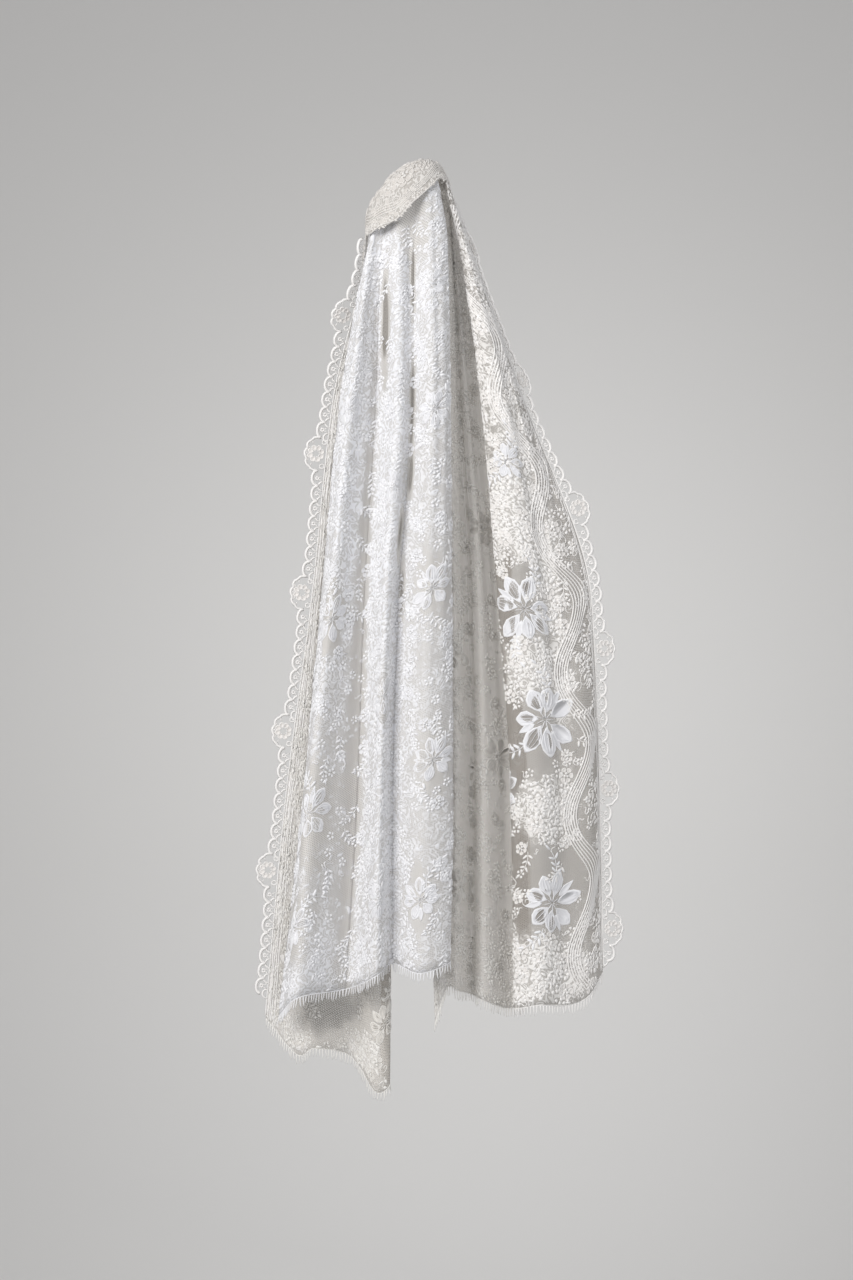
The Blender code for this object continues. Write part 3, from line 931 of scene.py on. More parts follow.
    def sprig(self, at: Spot, turn: float, length: float, pairs: int, leaf: float, curl: float) -> Spot:
        """Add a curved stem with leaves on both sides.

        Args:
            at: Where the stem starts.
            turn: Where it sets out, in radians from straight down.
            length: Its length in millimetres.
            pairs: Pairs of leaves along it.
            leaf: Length of a leaf.
            curl: How far the stem turns by its end, in radians.

        Returns:
            Where the stem ends.
        """
        count = 9
        ways = turn + curl * np.linspace(0.0, 1.0, count)
        steps = length / (count - 1)
        path = np.array(at) + np.concatenate([
            np.zeros((1, 2)),
            np.cumsum(np.stack([np.sin(ways[:-1]), np.cos(ways[:-1])], axis=-1) * steps, axis=0),
        ])
        self.thread(path, 1.2, 0.9)
        for number in range(pairs):
            place = int(1 + number * (count - 2) / max(1, pairs))
            for side in (-1.0, 1.0):
                way = ways[place] + side * 0.95
                size = leaf * self.rng.uniform(0.8, 1.1)
                self.patch(self.shapes.leaflet, tuple(path[place]), way, size * 0.42, size, 1.2)
        self.patch(self.shapes.leaflet, tuple(path[-1]), ways[-1], leaf * 0.42, leaf, 1.2)
        return float(path[-1][0]), float(path[-1][1])

    def scroll(self, at: Spot, size: float) -> None:
        """Add a small spiral of cord."""
        start = self.rng.uniform(0.0, ANY_TURN)
        sweep = 7.5 * self.rng.choice([-1.0, 1.0])
        self.arc(at, size * 0.12, start, sweep, 1.3, size * 0.38, 14)

    def scatter(self, cloth: "FlatMap | CrownMap", spacing: float, tries: int,
                chance: Callable[[float, float], float],
                draw: Callable[[Spot, float], None],
                span: tuple[float, float, float, float]) -> int:
        """Strew motifs over the cloth, none too near another.

        Args:
            cloth: Cloth that carries them.
            spacing: Least distance between two, in millimetres.
            tries: How many places are tried.
            chance: Share of places kept, by fold number and drop.
            draw: Draws a motif at a place, with the share there.
            span: Lowest and highest place across, then down.

        Returns:
            How many motifs were drawn.
        """
        kept = np.empty((0, 2))
        for _ in range(tries):
            spot = np.array([self.rng.uniform(span[0], span[1]), self.rng.uniform(span[2], span[3])])
            draw_lot = self.rng.uniform()
            if len(kept) and np.min(np.sum((kept - spot) ** 2, axis=1)) < spacing ** 2:
                continue
            _, _, inside = cloth.hang(spot[:1], spot[1:])
            if not inside[0]:
                continue
            share = chance(*cloth.place(float(spot[0]), float(spot[1])))
            if draw_lot > share:
                continue
            kept = np.concatenate([kept, spot[None, :]])
            draw((float(spot[0]), float(spot[1])), share)
        return len(kept)

    def hang(self, cloth: "FlatMap | EdgeMap | CrownMap", name: str, material: Material) -> Piece:
        """Hang the motifs with their cloth, as one piece.

        Args:
            cloth: Cloth that carries them.
            name: Name of the piece.
            material: Thread that they are stitched in.

        Returns:
            The piece.
        """
        bin_ = MeshBin()
        if self.patches:
            flat = np.concatenate([part for part, _ in self.patches])
            point, normal, inside = cloth.hang(flat[:, 0], flat[:, 1])
            solid = point + normal * flat[:, 2:3]
            start = 0
            for part, shape in self.patches:
                end = start + len(part)
                if inside[start:end].all():
                    bin_.add(solid[start:end], shape.faces, shape.cord)
                start = end
        for path, widths, height in self.threads:
            point, normal, inside = cloth.hang(path[:, 0], path[:, 1])
            edges = np.flatnonzero(np.diff(np.concatenate([[0], inside.astype(int), [0]])))
            for first, last in zip(edges[::2], edges[1::2]):
                if last - first >= 2:
                    run = slice(first, last)
                    bin_.tube(point[run], normal[run], widths[run], height, 0.3)
        return bin_.finish(name, material)


@dataclass
class CrownMap:
    """Flat map of the crown: so far round it, and so far down from its top."""

    per_degree: float = 0.85
    spacing: float = 4.0
    steps: int = 60
    overhang: tuple[float, ...] = (1.5, 3.0, 4.5)

    def __post_init__(self) -> None:
        """Measure the crown along lines down from its top."""
        self.angles = np.arange(0.0, 361.0, self.spacing)
        shares = np.linspace(0.0, 1.0, self.steps) ** 2
        rim = rim_drop(self.angles)[:, None]
        self.drops = np.concatenate([rim * shares[None, :], rim + np.array([self.overhang])], axis=1)
        self.arcs = arc_lengths(crown_point(self.angles[:, None] + 0.0 * self.drops, self.drops))

    def spot(self, angle: float, drop: float) -> Spot:
        """Flat place of a spot given by its angle and its drop."""
        near = int(round((angle % 360.0) / self.spacing))
        return angle * self.per_degree, float(np.interp(drop, self.drops[near], self.arcs[near]))

    def place(self, across: float, down: float) -> Spot:
        """Angle and drop of a flat place."""
        angle = (across / self.per_degree) % 360.0
        near = int(round(angle / self.spacing))
        return angle, float(np.interp(down, self.arcs[near], self.drops[near]))

    def hang(self, across: np.ndarray, down: np.ndarray) -> Hung:
        """Find where flat places lie on the crown.

        Args:
            across: Millimetres round from the right side.
            down: Millimetres down from the top.

        Returns:
            Points, unit normals, and whether each place lies on the crown.
        """
        angle = np.mod(across / self.per_degree, 360.0)
        column = np.clip(angle / self.spacing, 0.0, len(self.angles) - 1.001)
        low = column.astype(int)
        share = column - low
        drop = np.empty(len(angle))
        end = np.empty(len(angle))
        for line in np.unique(low):
            here = low == line
            before = np.interp(down[here], self.arcs[line], self.drops[line])
            after = np.interp(down[here], self.arcs[line + 1], self.drops[line + 1])
            drop[here] = before * (1.0 - share[here]) + after * share[here]
            end[here] = (self.arcs[line, -1] * (1.0 - share[here])
                         + self.arcs[line + 1, -1] * share[here])
        return (crown_point(angle, drop), crown_normal(angle, np.maximum(drop, 0.5)),
                (down > 6.0) & (down < end - 0.6))

    def rim(self, angle: float) -> float:
        """Flat distance from the top to the rim at an angle."""
        return self.spot(angle, float(rim_drop(np.array(angle))))[1]


class Graph:
    """One material on the principled shader, whose nodes are added by what they do."""

    def __init__(self, name: str, constants: dict[str, float | tuple[float, ...]]) -> None:
        """Start the material.

        Args:
            name: Name of the material.
            constants: Values set on the shader's own sockets.
        """
        self.material = bpy.data.materials.new(name)
        self.material.use_nodes = True
        self.tree = self.material.node_tree
        self.shader = self.tree.nodes["Principled BSDF"]
        for key, value in constants.items():
            self.shader.inputs[key].default_value = value

    def to(self, socket_name: str, value: Socket) -> None:
        """Link a value to one of the shader's sockets."""
        self.tree.links.new(value, self.shader.inputs[socket_name])

    def place(self) -> Socket:
        """Place on the object, in metres."""
        return add_node(self.tree, "ShaderNodeTexCoord", {}, {}).outputs["Object"]

    def value(self, name: str) -> Socket:
        """Number that each point of the mesh carries."""
        return add_node(self.tree, "ShaderNodeAttribute", {"attribute_name": name}, {}).outputs["Fac"]

    def noise(self, at: Socket, scale: float, detail: float, output: str = "Fac") -> Socket:
        """Cloudy noise at a place."""
        return add_node(self.tree, "ShaderNodeTexNoise", {"Scale": scale, "Detail": detail},
                        {"Vector": at}).outputs[output]

    def sum(self, operation: str, *values: float | Socket, clamp: bool = False) -> Socket:
        """Work out one sum.

        Args:
            operation: Blender's name of the operation.
            values: Its numbers, each a constant or a socket.
            clamp: Whether the result is held between 0 and 1.

        Returns:
            The result.
        """
        fixed = {k: v for k, v in enumerate(values) if isinstance(v, float)}
        linked = {k: v for k, v in enumerate(values) if not isinstance(v, float)}
        return add_node(self.tree, "ShaderNodeMath",
                        {"operation": operation, "use_clamp": clamp, **fixed}, linked).outputs[0]

    def ramp(self, value: Socket, low: float, high: float, start: float, end: float) -> Socket:
        """Turn a value from low to high into one from start to end, held between the two."""
        return add_node(self.tree, "ShaderNodeMapRange", {1: low, 2: high, 3: start, 4: end},
                        {0: value}).outputs[0]

    def mix(self, share: Socket, first: str | Socket, second_hex: str) -> Socket:
        """Mix a colour with another, by a share of the second."""
        node = add_node(self.tree, "ShaderNodeMix", {"data_type": "RGBA"}, {0: share})
        if isinstance(first, str):
            node.inputs[6].default_value = linear(first)
        else:
            self.tree.links.new(first, node.inputs[6])
        node.inputs[7].default_value = linear(second_hex)
        return node.outputs[2]

    def bump(self, height: Socket, strength: float, distance: float) -> None:
        """Raise the surface by a height, so far in metres."""
        node = add_node(self.tree, "ShaderNodeBump", {"Strength": strength, "Distance": distance},
                        {"Height": height})
        self.to("Normal", node.outputs["Normal"])


@dataclass(frozen=True)
class CottonThread:
    """Mercerised cotton, satin stitched: a soft white with a faint silk sheen.

    Attributes:
        name: Name of the material.
        cord_hex: Colour of the raised cord, which catches the light.
        fill_hex: Colour of the flat filling between cords.
    """

    name: str
    cord_hex: str
    fill_hex: str

    def material(self) -> Material:
        """Build the thread's material."""
        graph = Graph(self.name, {"Roughness": 0.72, "Sheen Weight": 0.12, "Sheen Roughness": 0.5})
        place = graph.place()
        cloud = graph.sum("MULTIPLY_ADD", graph.noise(place, 45.0, 2.0), 0.5, -0.12)
        share = graph.sum("ADD", graph.value("cord"), cloud, clamp=True)
        graph.to("Base Color", graph.mix(share, self.fill_hex, self.cord_hex))
        # Stitches lie about 0.6 mm apart; drawn at 1.2 mm so that they show.
        graph.bump(graph.noise(place, 830.0, 1.0), 0.35, 0.0004)
        return graph.material


@dataclass(frozen=True)
class BobbinNet:
    """Cotton bobbin net, partly filled with stitched petals: clear meshes and milky patches.

    Attributes:
        name: Name of the material.
        thread_and_shade_hex: Colour of the net's thread, greyer than the white thread itself: painted
            shade, for net seen against the shade behind it.
        fill_hex: Colour of the stitched filling.
        gauze: Least cover, which stands for the finest threads between the meshes.
        pitch: Millimetres from mesh to mesh. Real net has 1.2; drawn coarser so that it shows.
        thread: Level of the wave pattern under which there is thread, from -1.5 to 3.
        fineness: Cover of stitching too fine to show, where the cloth is wholly filled.
        closeness: How opaque full stitching is; over one, it is opaque before it is full.
        painted_shade_hex: Painted shade: the net's colour where the cover is below 0, darker for slots
            and hollows that lie in shade.
    """

    name: str
    thread_and_shade_hex: str
    fill_hex: str
    gauze: float = 0.12
    pitch: float = 3.0
    thread: float = -0.55
    fineness: float = 0.95
    closeness: float = 1.7
    painted_shade_hex: str = "#9B968F"

    def material(self) -> Material:
        """Build the net's material."""
        graph = Graph(self.name, {"Roughness": 0.8, "Sheen Weight": 0.1})
        flat = add_node(graph.tree, "ShaderNodeUVMap", {"uv_map": "flat"}, {}).outputs["UV"]
        thread = self.meshes(graph, flat)
        fill = self.filling(graph, flat)
        cloth = graph.sum("MULTIPLY", fill, self.closeness, clamp=True)
        graph.to("Alpha", graph.sum("MAXIMUM", thread, cloth))
        # Painted shade: where the cover is below 0, the net turns to the darker shade colour, for slots
        # and hollows in shade.
        painted_shade = graph.ramp(graph.value("milk"), -0.30, 0.02, 1.0, 0.0)
        ground = graph.mix(painted_shade, self.thread_and_shade_hex, self.painted_shade_hex)
        graph.to("Base Color", graph.mix(fill, ground, self.fill_hex))
        graph.bump(fill, 0.6, 0.0012)
        return graph.material

    def meshes(self, graph: Graph, place: Socket) -> Socket:
        """Draw the six-sided meshes as three crossing waves.

        Args:
            graph: The material.
            place: Flat place on the cloth, in metres.

        Returns:
            1 on thread and the gauze's cover inside a mesh.
        """
        wave = 4.0 * math.pi / (math.sqrt(3.0) * self.pitch * MM)
        rows = []
        for turn in (0.0, 120.0, 240.0):
            way = (wave * math.cos(math.radians(turn)), wave * math.sin(math.radians(turn)), 0.0)
            along = add_node(graph.tree, "ShaderNodeVectorMath",
                             {"operation": "DOT_PRODUCT", 1: way}, {0: place})
            rows.append(graph.sum("COSINE", along.outputs["Value"]))
        total = graph.sum("ADD", graph.sum("ADD", rows[0], rows[1]), rows[2])
        return graph.ramp(total, self.thread - 0.4, self.thread + 0.4, 0.9, self.gauze)

    def filling(self, graph: Graph, place: Socket) -> Socket:
        """Draw petals and winding cords where the cloth is dense.

        Args:
            graph: The material.
            place: Flat place on the cloth, in metres.

        Returns:
            How full the stitching is, highest along its cords.
        """
        drift = graph.noise(place, 60.0, 1.0, "Color")
        push = add_node(graph.tree, "ShaderNodeVectorMath",
                        {"operation": "MULTIPLY_ADD", 1: (0.014, 0.014, 0.0)},
                        {0: drift, 2: place}).outputs[0]
        # Stitched petals lie about 9 mm apart, as on the real cloth.
        petals = add_node(graph.tree, "ShaderNodeTexVoronoi",
                          {"feature": "F1", "Scale": 1.0 / (9.0 * MM)},
                          {"Vector": push}).outputs["Distance"]
        milk = graph.value("milk")
        level = graph.sum("MULTIPLY_ADD", graph.noise(place, 28.0, 3.0), 0.9, milk)
        body = graph.ramp(petals, 0.30, 0.50, 0.92, 0.10)
        close = graph.ramp(milk, 0.35, 0.85, 0.0, self.fineness)
        stitched = graph.sum("MULTIPLY", graph.ramp(level, 0.74, 1.08, 0.0, 1.0),
                             graph.sum("MAXIMUM", body, close))
        turns = graph.sum("MULTIPLY", graph.noise(push, 78.0, 1.0), 34.0)
        cord = graph.ramp(graph.sum("SINE", turns), -0.3, 0.7, 0.46, 1.0)
        pinhole = graph.ramp(petals, 0.08, 0.16, 0.45, 1.0)
        return graph.sum("MULTIPLY", graph.sum("MULTIPLY", stitched, cord), pinhole)


@dataclass(frozen=True)
class MattPaint:
    """Matt grey wall paint over turned metal: flat, a little uneven where the brush went."""

    name: str
    paint_hex: str
    worn_hex: str

    def material(self) -> Material:
        """Build the paint's material."""
        graph = Graph(self.name, {})
        cloud = graph.noise(graph.place(), 120.0, 4.0)
        graph.to("Base Color", graph.mix(cloud, self.paint_hex, self.worn_hex))
        graph.to("Roughness", graph.ramp(cloud, 0.0, 1.0, 0.5, 0.75))
        graph.bump(cloud, 0.25, 0.0003)
        return graph.material


@dataclass(frozen=True)
class Zone:
    """A stretch of a cloth that is denser or clearer than the rest.

    Attributes:
        fold: Fold number at its middle.
        drop: Drop of its middle in millimetres.
        fold_reach: Half its width, in folds.
        drop_reach: Half its height in millimetres.
        cover: Share of the net that is filled there; below 0, the net is bare and darkened as painted
            shade.
    """

    fold: float
    drop: float
    fold_reach: float
    drop_reach: float
    cover: float

    def weight(self, fold: np.ndarray, drop: np.ndarray) -> np.ndarray:
        """How far a place belongs to this zone, from 0 to 1."""
        away = ((fold - self.fold) / self.fold_reach) ** 2 + ((drop - self.drop) / self.drop_reach) ** 2
        edge = 1.0 + 0.20 * np.sin(9.0 * fold + drop / 13.0) + 0.16 * np.sin(drop / 9.0 - 5.0 * fold)
        return np.exp(-(away / (1.25 * edge)) ** 2)


@dataclass
class Chain:
    """One continuous width of the veil: its fold lines, creases and filled zones."""

    folds: tuple[Fold, ...]
    creases: tuple[Crease, ...]
    anchor: Anchor
    base: float
    zones: tuple[Zone, ...]
    columns_per_fold: int = 14
    rows: int = 110

    def __post_init__(self) -> None:
        """Hang the cloth and measure it."""
        self.cloth = Cloth(self.folds, self.creases)
        last = len(self.folds) - 1
        self.numbers = np.linspace(0.0, last, last * self.columns_per_fold + 1)
        self.along = np.linspace(0.0, 1.0, self.rows)
        across, along = np.meshgrid(self.numbers, self.along)
        points, normals = self.cloth.at(across, along)
        self.map = FlatMap(points, normals, self.numbers, self.anchor)

    def cover(self, fold: np.ndarray, drop: np.ndarray) -> np.ndarray:
        """Share of the net that is filled at a place."""
        value = self.base + 0.0 * np.asarray(fold, float)
        for zone in self.zones:
            weight = zone.weight(fold, drop)
            value = value * (1.0 - weight) + zone.cover * weight
        return value

    def span(self) -> tuple[float, float, float, float]:
        """Lowest and highest flat place across, then down."""
        return self.map.low, self.map.high, 0.0, self.map.length


def uneven(points: np.ndarray, reach: float) -> np.ndarray:
    """Slow uneven wave over the cloth, from minus to plus its reach, in place of dead flat net."""
    wave = np.sin(points[..., 0] * 0.11 + points[..., 2] * 0.031)
    return reach * wave * np.sin(points[..., 2] * 0.017 + points[..., 1] * 0.09)


@dataclass
class Fall:
    """One hanging stretch: its net ground, its fringe, and what it stands for.

    Attributes:
        node: Solid that the net stands for.
        fringe_node: Solid that the fringe stands for.
        chain: Cloth that it is a stretch of.
        first: Number of its first fold.
        last: Number of its last fold.
        tone: Its cast of white.
        seam: Gap that parts it from the next stretch, in folds.
        strand_pitch: Millimetres from strand to strand.
        strand_length: Length of a strand in millimetres, before it is varied.
    """

    node: str
    fringe_node: str
    chain: Chain
    first: int
    last: int
    tone: Tone
    seam: float = 0.001
    strand_pitch: float = 4.4
    strand_length: float = 12.0

    def columns(self) -> slice:
        """Columns of the chain's grid that this stretch takes up."""
        per = self.chain.columns_per_fold
        return slice(self.first * per, self.last * per + 1)

    def net(self, material: Material) -> Piece:
        """Make the stretch's net as a thin shell.

        Args:
            material: The net's material.

        Returns:
            The finished piece.
        """
        numbers = self.chain.numbers[self.columns()].copy()
        if self.first > 0:
            numbers[0] += self.seam
        if self.last < len(self.chain.folds) - 1:
            numbers[-1] -= self.seam
        across, along = np.meshgrid(numbers, self.chain.along)
        points, normals = self.chain.cloth.at(across, along)
        points = points + normals * uneven(points, 0.35)[..., None]
        rows, columns = across.shape
        faces = [(a, a + columns, a + columns + 1, a + 1)
                 for row in range(rows - 1) for a in range(row * columns, (row + 1) * columns - 1)]
        flat = np.stack([self.chain.map.arcs[:, self.columns()],
                         np.repeat(self.chain.map.row_arcs[:, None], columns, axis=1)], axis=-1)
        piece = new_net(f"{self.node}_net", points, faces, flat,
                        self.chain.cover(across, points[..., 2]), material)
        thin_shell(piece)
        LOG.info("%s: %d faces", piece.name, len(piece.data.polygons))
        return piece

    def area(self) -> float:
        """Flat area of the stretch in square metres."""
        points = self.chain.map.points[:, self.columns()]
        down = np.diff(points, axis=0)[:, :-1]
        right = np.diff(points, axis=1)[:-1]
        return float(np.linalg.norm(np.cross(down, right), axis=-1).sum()) * MM * MM

    def flat(self) -> Spot:
        """Greatest width and length of the stretch's cut, in metres."""
        arcs = self.chain.map.arcs[:, self.columns()]
        downs = np.linalg.norm(np.diff(self.chain.map.points, axis=0), axis=-1).sum(axis=0)
        length = float(downs[self.columns()].max())
        return float((arcs[:, -1] - arcs[:, 0]).max()) * MM, length * MM

    def fringe(self, material: Material, seed: int) -> Piece:
        """Make the eyelash strands along the hem, with the corded hem that holds them.

        Args:
            material: The strands' material.
            seed: Start of their random lengths.

        Returns:
            The finished piece.
        """
        rng = np.random.RandomState(seed)
        numbers = np.linspace(self.first, self.last, 40 * (self.last - self.first) + 1)
        points, normals = self.chain.cloth.at(numbers, np.ones(len(numbers)))
        above, _ = self.chain.cloth.at(numbers, np.full(len(numbers), 0.994))
        hang = unit(points - above)
        arcs = arc_lengths(points)
        bin_ = MeshBin()
        bin_.tube(points, normals, np.full(len(points), 1.3), 0.7, 0.6)
        widths = np.array([2.1, 1.8, 1.6, 1.3, 0.8])
        share = np.linspace(0.0, 1.0, len(widths))[:, None]
        for place in np.arange(arcs[0] + 1.0, arcs[-1] - 1.0, self.strand_pitch):
            root = read_line(place, arcs, points)
            way = unit(read_line(place, arcs, hang))
            face = unit(read_line(place, arcs, normals))
            length = self.strand_length * rng.uniform(0.75, 1.1)
            sway = np.array([rng.uniform(-1.6, 1.6), rng.uniform(-0.7, 0.7), 0.0])
            path = root + way * length * share + sway * share ** 2
            bin_.tube(path, np.repeat(face[None, :], len(widths), axis=0), widths, 0.5, 0.5)
        return bin_.finish(f"{self.fringe_node}_strands", material)


def rows(kind: Callable, table: Sequence[tuple]) -> tuple:
    """Make one object from each row of a table."""
    return tuple(kind(*row) for row in table)


# Fold lines, from each chain's left to its right: top, drop of the hem, then x and depth at
# the four levels and at the hem.
FRONT = rows(Fold, (
    (Tuck(190.0, 29.0), 1118.0, (-76, -115, -140, -164, -195), (62, 50, 45, 45, 48)),
    (Tuck(208.0, 29.0), 1087.0, (-72, -99, -125, -151, -167), (74, 92, 95, 98, 100)),
    (Tuck(226.0, 29.0), 1082.0, (-60, -68, -83, -92, -107), (70, 62, 58, 55, 55)),
    (Tuck(248.0, 29.0), 1059.0, (-39, -40, -55, -63, -68), (88, 98, 102, 106, 108)),
    (Tuck(268.0, 29.0), 1046.0, (-18, -20, -38, -46, -46), (80, 80, 78, 76, 76)),
    (Tuck(290.0, 25.0), 1054.0, (3, 5, -3, -8, -11), (92, 106, 110, 112, 112)),
    (Tuck(312.0, 22.0), 1041.0, (25, 29, 31, 32, 29), (80, 88, 92, 94, 94)),
    (Free(9.0, 68.0, 22.0), 1037.0, (10, 8, 5, 3, 0), (66, 68, 66, 64, 64)),
))
BACK_LEFT = rows(Fold, (
    (Rim(182.0), 1125.0, (None, -124, -152, -186, -213), (None, 23, 21, 21, 24)),
    (Rim(176.0), 1173.0, (None, -116, -138, -156, -173), (None, 22, 19, 18, 20)),
    (Rim(170.0), 1163.0, (None, -107, -117, -133, -148), (None, 28, 30, 33, 34)),
    (Rim(165.0), 1177.0, (None, -86, -94, -99, -102), (None, 12, 10, 10, 12)),
    (Rim(159.0), 1220.0, (None, -65, -70, -70, -69), (None, 24, 28, 30, 32)),
    (Rim(152.0), 1211.0, (None, -44, -47, -48, -50), (None, 22, 26, 28, 30)),
    (Rim(146.0), 1199.0, (None, -55, -57, -60, -63), (None, 8, 8, 8, 8)),
))
BACK_CENTRE = rows(Fold, (
    (Rim(48.0), 1128.0, (16, 13, 5, 1, 9), (36, 30, 28, 28, 42)),
    (Rim(42.0), 1082.0, (21, 22, 23, 23, 25), (40, 38, 38, 38, 42)),
    (Rim(36.0), 1085.0, (27, 31, 36, 39, 39), (44, 44, 46, 48, 48)),
    (Rim(30.0), 1093.0, (31, 42, 52, 57, 57), (36, 26, 22, 20, 20)),
    (Rim(24.0), 1099.0, (35, 51, 68, 73, 73), (40, 38, 40, 42, 42)),
    (Rim(18.0), 1113.0, (42, 65, 91, 104, 109), (32, 20, 16, 14, 14)),
    (Rim(12.5), 1103.0, (47, 81, 114, 133, 138), (28, 16, 12, 12, 12)),
))
RIGHT = rows(Fold, (
    (Free(19.0, 60.0, 34.0), 1100.0, (49, 86, 112, 130, 133), (44, 36, 34, 32, 32)),
    (Rim(-28.0), 1107.0, (40, 69, 91, 108, 112), (56, 58, 62, 62, 60)),
    (Rim(-18.0), 1100.0, (45, 90, 125, 143, 146), (62, 76, 80, 80, 76)),
    (Rim(-9.0), 1103.0, (49, 109, 161, 179, 179), (58, 66, 62, 60, 58)),
    (Rim(1.0), 1093.0, (51, 120, 186, 209, 209), (52, 56, 56, 52, 48)),
    (Rim(10.0), 1063.0, (52, 125, 213, 224, 229), (46, 44, 40, 36, 34)),
))

# Creases, by fold number, half width in folds, start, end, height in mm and drift in folds.
FRONT_CREASES = rows(Crease, (
    (0.35, 0.12, 0.18, 1.0, 1.7, 0.12), (0.62, 0.09, 0.30, 0.95, -1.3, -0.08),
    (0.90, 0.10, 0.10, 0.70, 1.2, 0.05), (1.40, 0.13, 0.15, 0.90, -1.6, 0.15),
    (1.72, 0.10, 0.35, 1.0, 1.5, -0.10), (2.35, 0.11, 0.08, 0.55, 1.3, 0.05),
    (2.62, 0.09, 0.40, 1.0, -1.2, 0.10), (3.30, 0.12, 0.25, 1.0, 1.6, 0.10),
    (3.70, 0.09, 0.05, 0.60, -1.1, 0.00), (4.42, 0.13, 0.12, 0.85, 1.8, -0.10),
    (4.75, 0.10, 0.45, 1.0, -1.4, 0.10), (5.25, 0.10, 0.08, 0.70, -1.5, 0.12),
    (5.55, 0.12, 0.30, 1.0, 1.5, -0.06), (6.45, 0.13, 0.15, 0.90, 1.4, 0.00),
))
BACK_LEFT_CREASES = rows(Crease, (
    (0.50, 0.14, 0.20, 1.0, 1.4, 0.10), (1.40, 0.12, 0.10, 0.80, -1.5, 0.12),
    (2.45, 0.13, 0.30, 1.0, 1.6, -0.10), (3.30, 0.12, 0.15, 0.70, 1.4, 0.10),
    (3.75, 0.10, 0.45, 1.0, -1.2, 0.00), (4.50, 0.14, 0.20, 0.95, 1.3, 0.10),
    (5.40, 0.13, 0.35, 1.0, -1.2, 0.05),
))
BACK_CENTRE_CREASES = rows(Crease, (
    (0.50, 0.14, 0.15, 0.90, 1.4, 0.10), (1.45, 0.13, 0.30, 1.0, -1.3, 0.05),
    (2.50, 0.12, 0.10, 0.80, 1.5, -0.10), (3.45, 0.12, 0.35, 1.0, 1.4, 0.10),
    (4.35, 0.11, 0.20, 0.75, -1.4, 0.05), (4.70, 0.12, 0.50, 1.0, 1.6, -0.10),
    (5.40, 0.13, 0.15, 0.95, 1.5, 0.10),
))
RIGHT_CREASES = rows(Crease, (
    (0.45, 0.14, 0.15, 0.95, 1.5, 0.10), (1.35, 0.11, 0.30, 1.0, -1.4, 0.10),
    (1.70, 0.10, 0.10, 0.60, 1.2, -0.05), (2.40, 0.12, 0.20, 0.90, 1.6, 0.12),
    (2.80, 0.09, 0.50, 1.0, -1.2, 0.00), (3.45, 0.12, 0.25, 1.0, 1.5, -0.10),
    (4.30, 0.11, 0.12, 0.70, -1.3, 0.08), (4.65, 0.10, 0.40, 1.0, 1.2, 0.00),
))

# Cover of a slot between folds, where the net is bare and darkened as painted shade.
SHADE_SLOT = -0.4

# Denser and clearer zones, by fold number, drop, half width, half height and cover.
FRONT_ZONES = rows(Zone, (
    (3.0, 600.0, 0.6, 330.0, 1.06), (5.3, 640.0, 1.1, 560.0, 0.64), (0.5, 820.0, 0.8, 330.0, 0.74),
    (1.35, 910.0, 0.45, 260.0, 0.58), (0.9, 1050.0, 1.4, 60.0, 0.84), (1.92, 700.0, 0.26, 420.0, 0.38),
    (5.2, 560.0, 0.5, 44.0, 0.36), (5.3, 780.0, 0.5, 46.0, 0.36), (5.0, 960.0, 0.5, 40.0, 0.40),
    (3.1, 700.0, 0.4, 36.0, 0.45), (1.1, 600.0, 0.42, 50.0, 0.28), (0.95, 851.0, 0.5, 62.0, 0.28),
    (0.6, 1000.0, 0.5, 45.0, 0.34), (3.1, 1010.0, 0.8, 90.0, 0.74), (4.0, 80.0, 1.0, 52.0, 0.34),
    (2.38, 215.0, 0.20, 70.0, SHADE_SLOT), (3.95, 165.0, 0.15, 45.0, SHADE_SLOT), (4.0, 318.0, 0.16, 60.0, SHADE_SLOT),
    (4.12, 408.0, 0.15, 32.0, SHADE_SLOT), (3.80, 490.0, 0.14, 30.0, SHADE_SLOT), (4.12, 565.0, 0.12, 32.0, SHADE_SLOT),
    (6.7, 600.0, 0.4, 620.0, 0.6),
))
# Covers below 0 darken the tail's net as painted shade in the hollow under the front hem.
BACK_LEFT_ZONES = rows(Zone, (
    (0.4, 600.0, 0.7, 620.0, 0.98), (4.7, 1120.0, 1.2, 140.0, -0.12), (2.2, 1120.0, 1.2, 38.0, -0.30),
    (3.3, 1172.0, 0.9, 30.0, 0.90), (0.8, 1165.0, 0.9, 40.0, 0.85),
))
BACK_CENTRE_ZONES = rows(Zone, (
    (1.2, 620.0, 1.4, 620.0, 0.50), (0.3, 1090.0, 0.7, 75.0, 1.1), (4.6, 1050.0, 1.8, 70.0, 0.60),
    (3.2, 160.0, 2.6, 130.0, 0.65),
))
RIGHT_ZONES = rows(Zone, (
    (4.5, 820.0, 0.75, 480.0, 0.34), (3.6, 560.0, 0.7, 45.0, 0.20), (3.6, 740.0, 0.7, 45.0, 0.20),
    (3.6, 915.0, 0.7, 45.0, 0.20), (0.5, 640.0, 0.6, 560.0, 0.25), (1.9, 660.0, 1.1, 240.0, 0.04),
    (2.4, 950.0, 1.0, 120.0, 0.04), (2.2, 250.0, 2.0, 190.0, 0.74), (2.2, 470.0, 1.3, 62.0, 0.98),
    (2.9, 540.0, 0.6, 95.0, 0.98), (1.9, 662.0, 0.8, 42.0, 1.0), (2.9, 690.0, 0.6, 60.0, 0.95),
    (2.3, 845.0, 1.0, 45.0, 1.0), (2.2, 1062.0, 1.8, 55.0, 0.95),
))

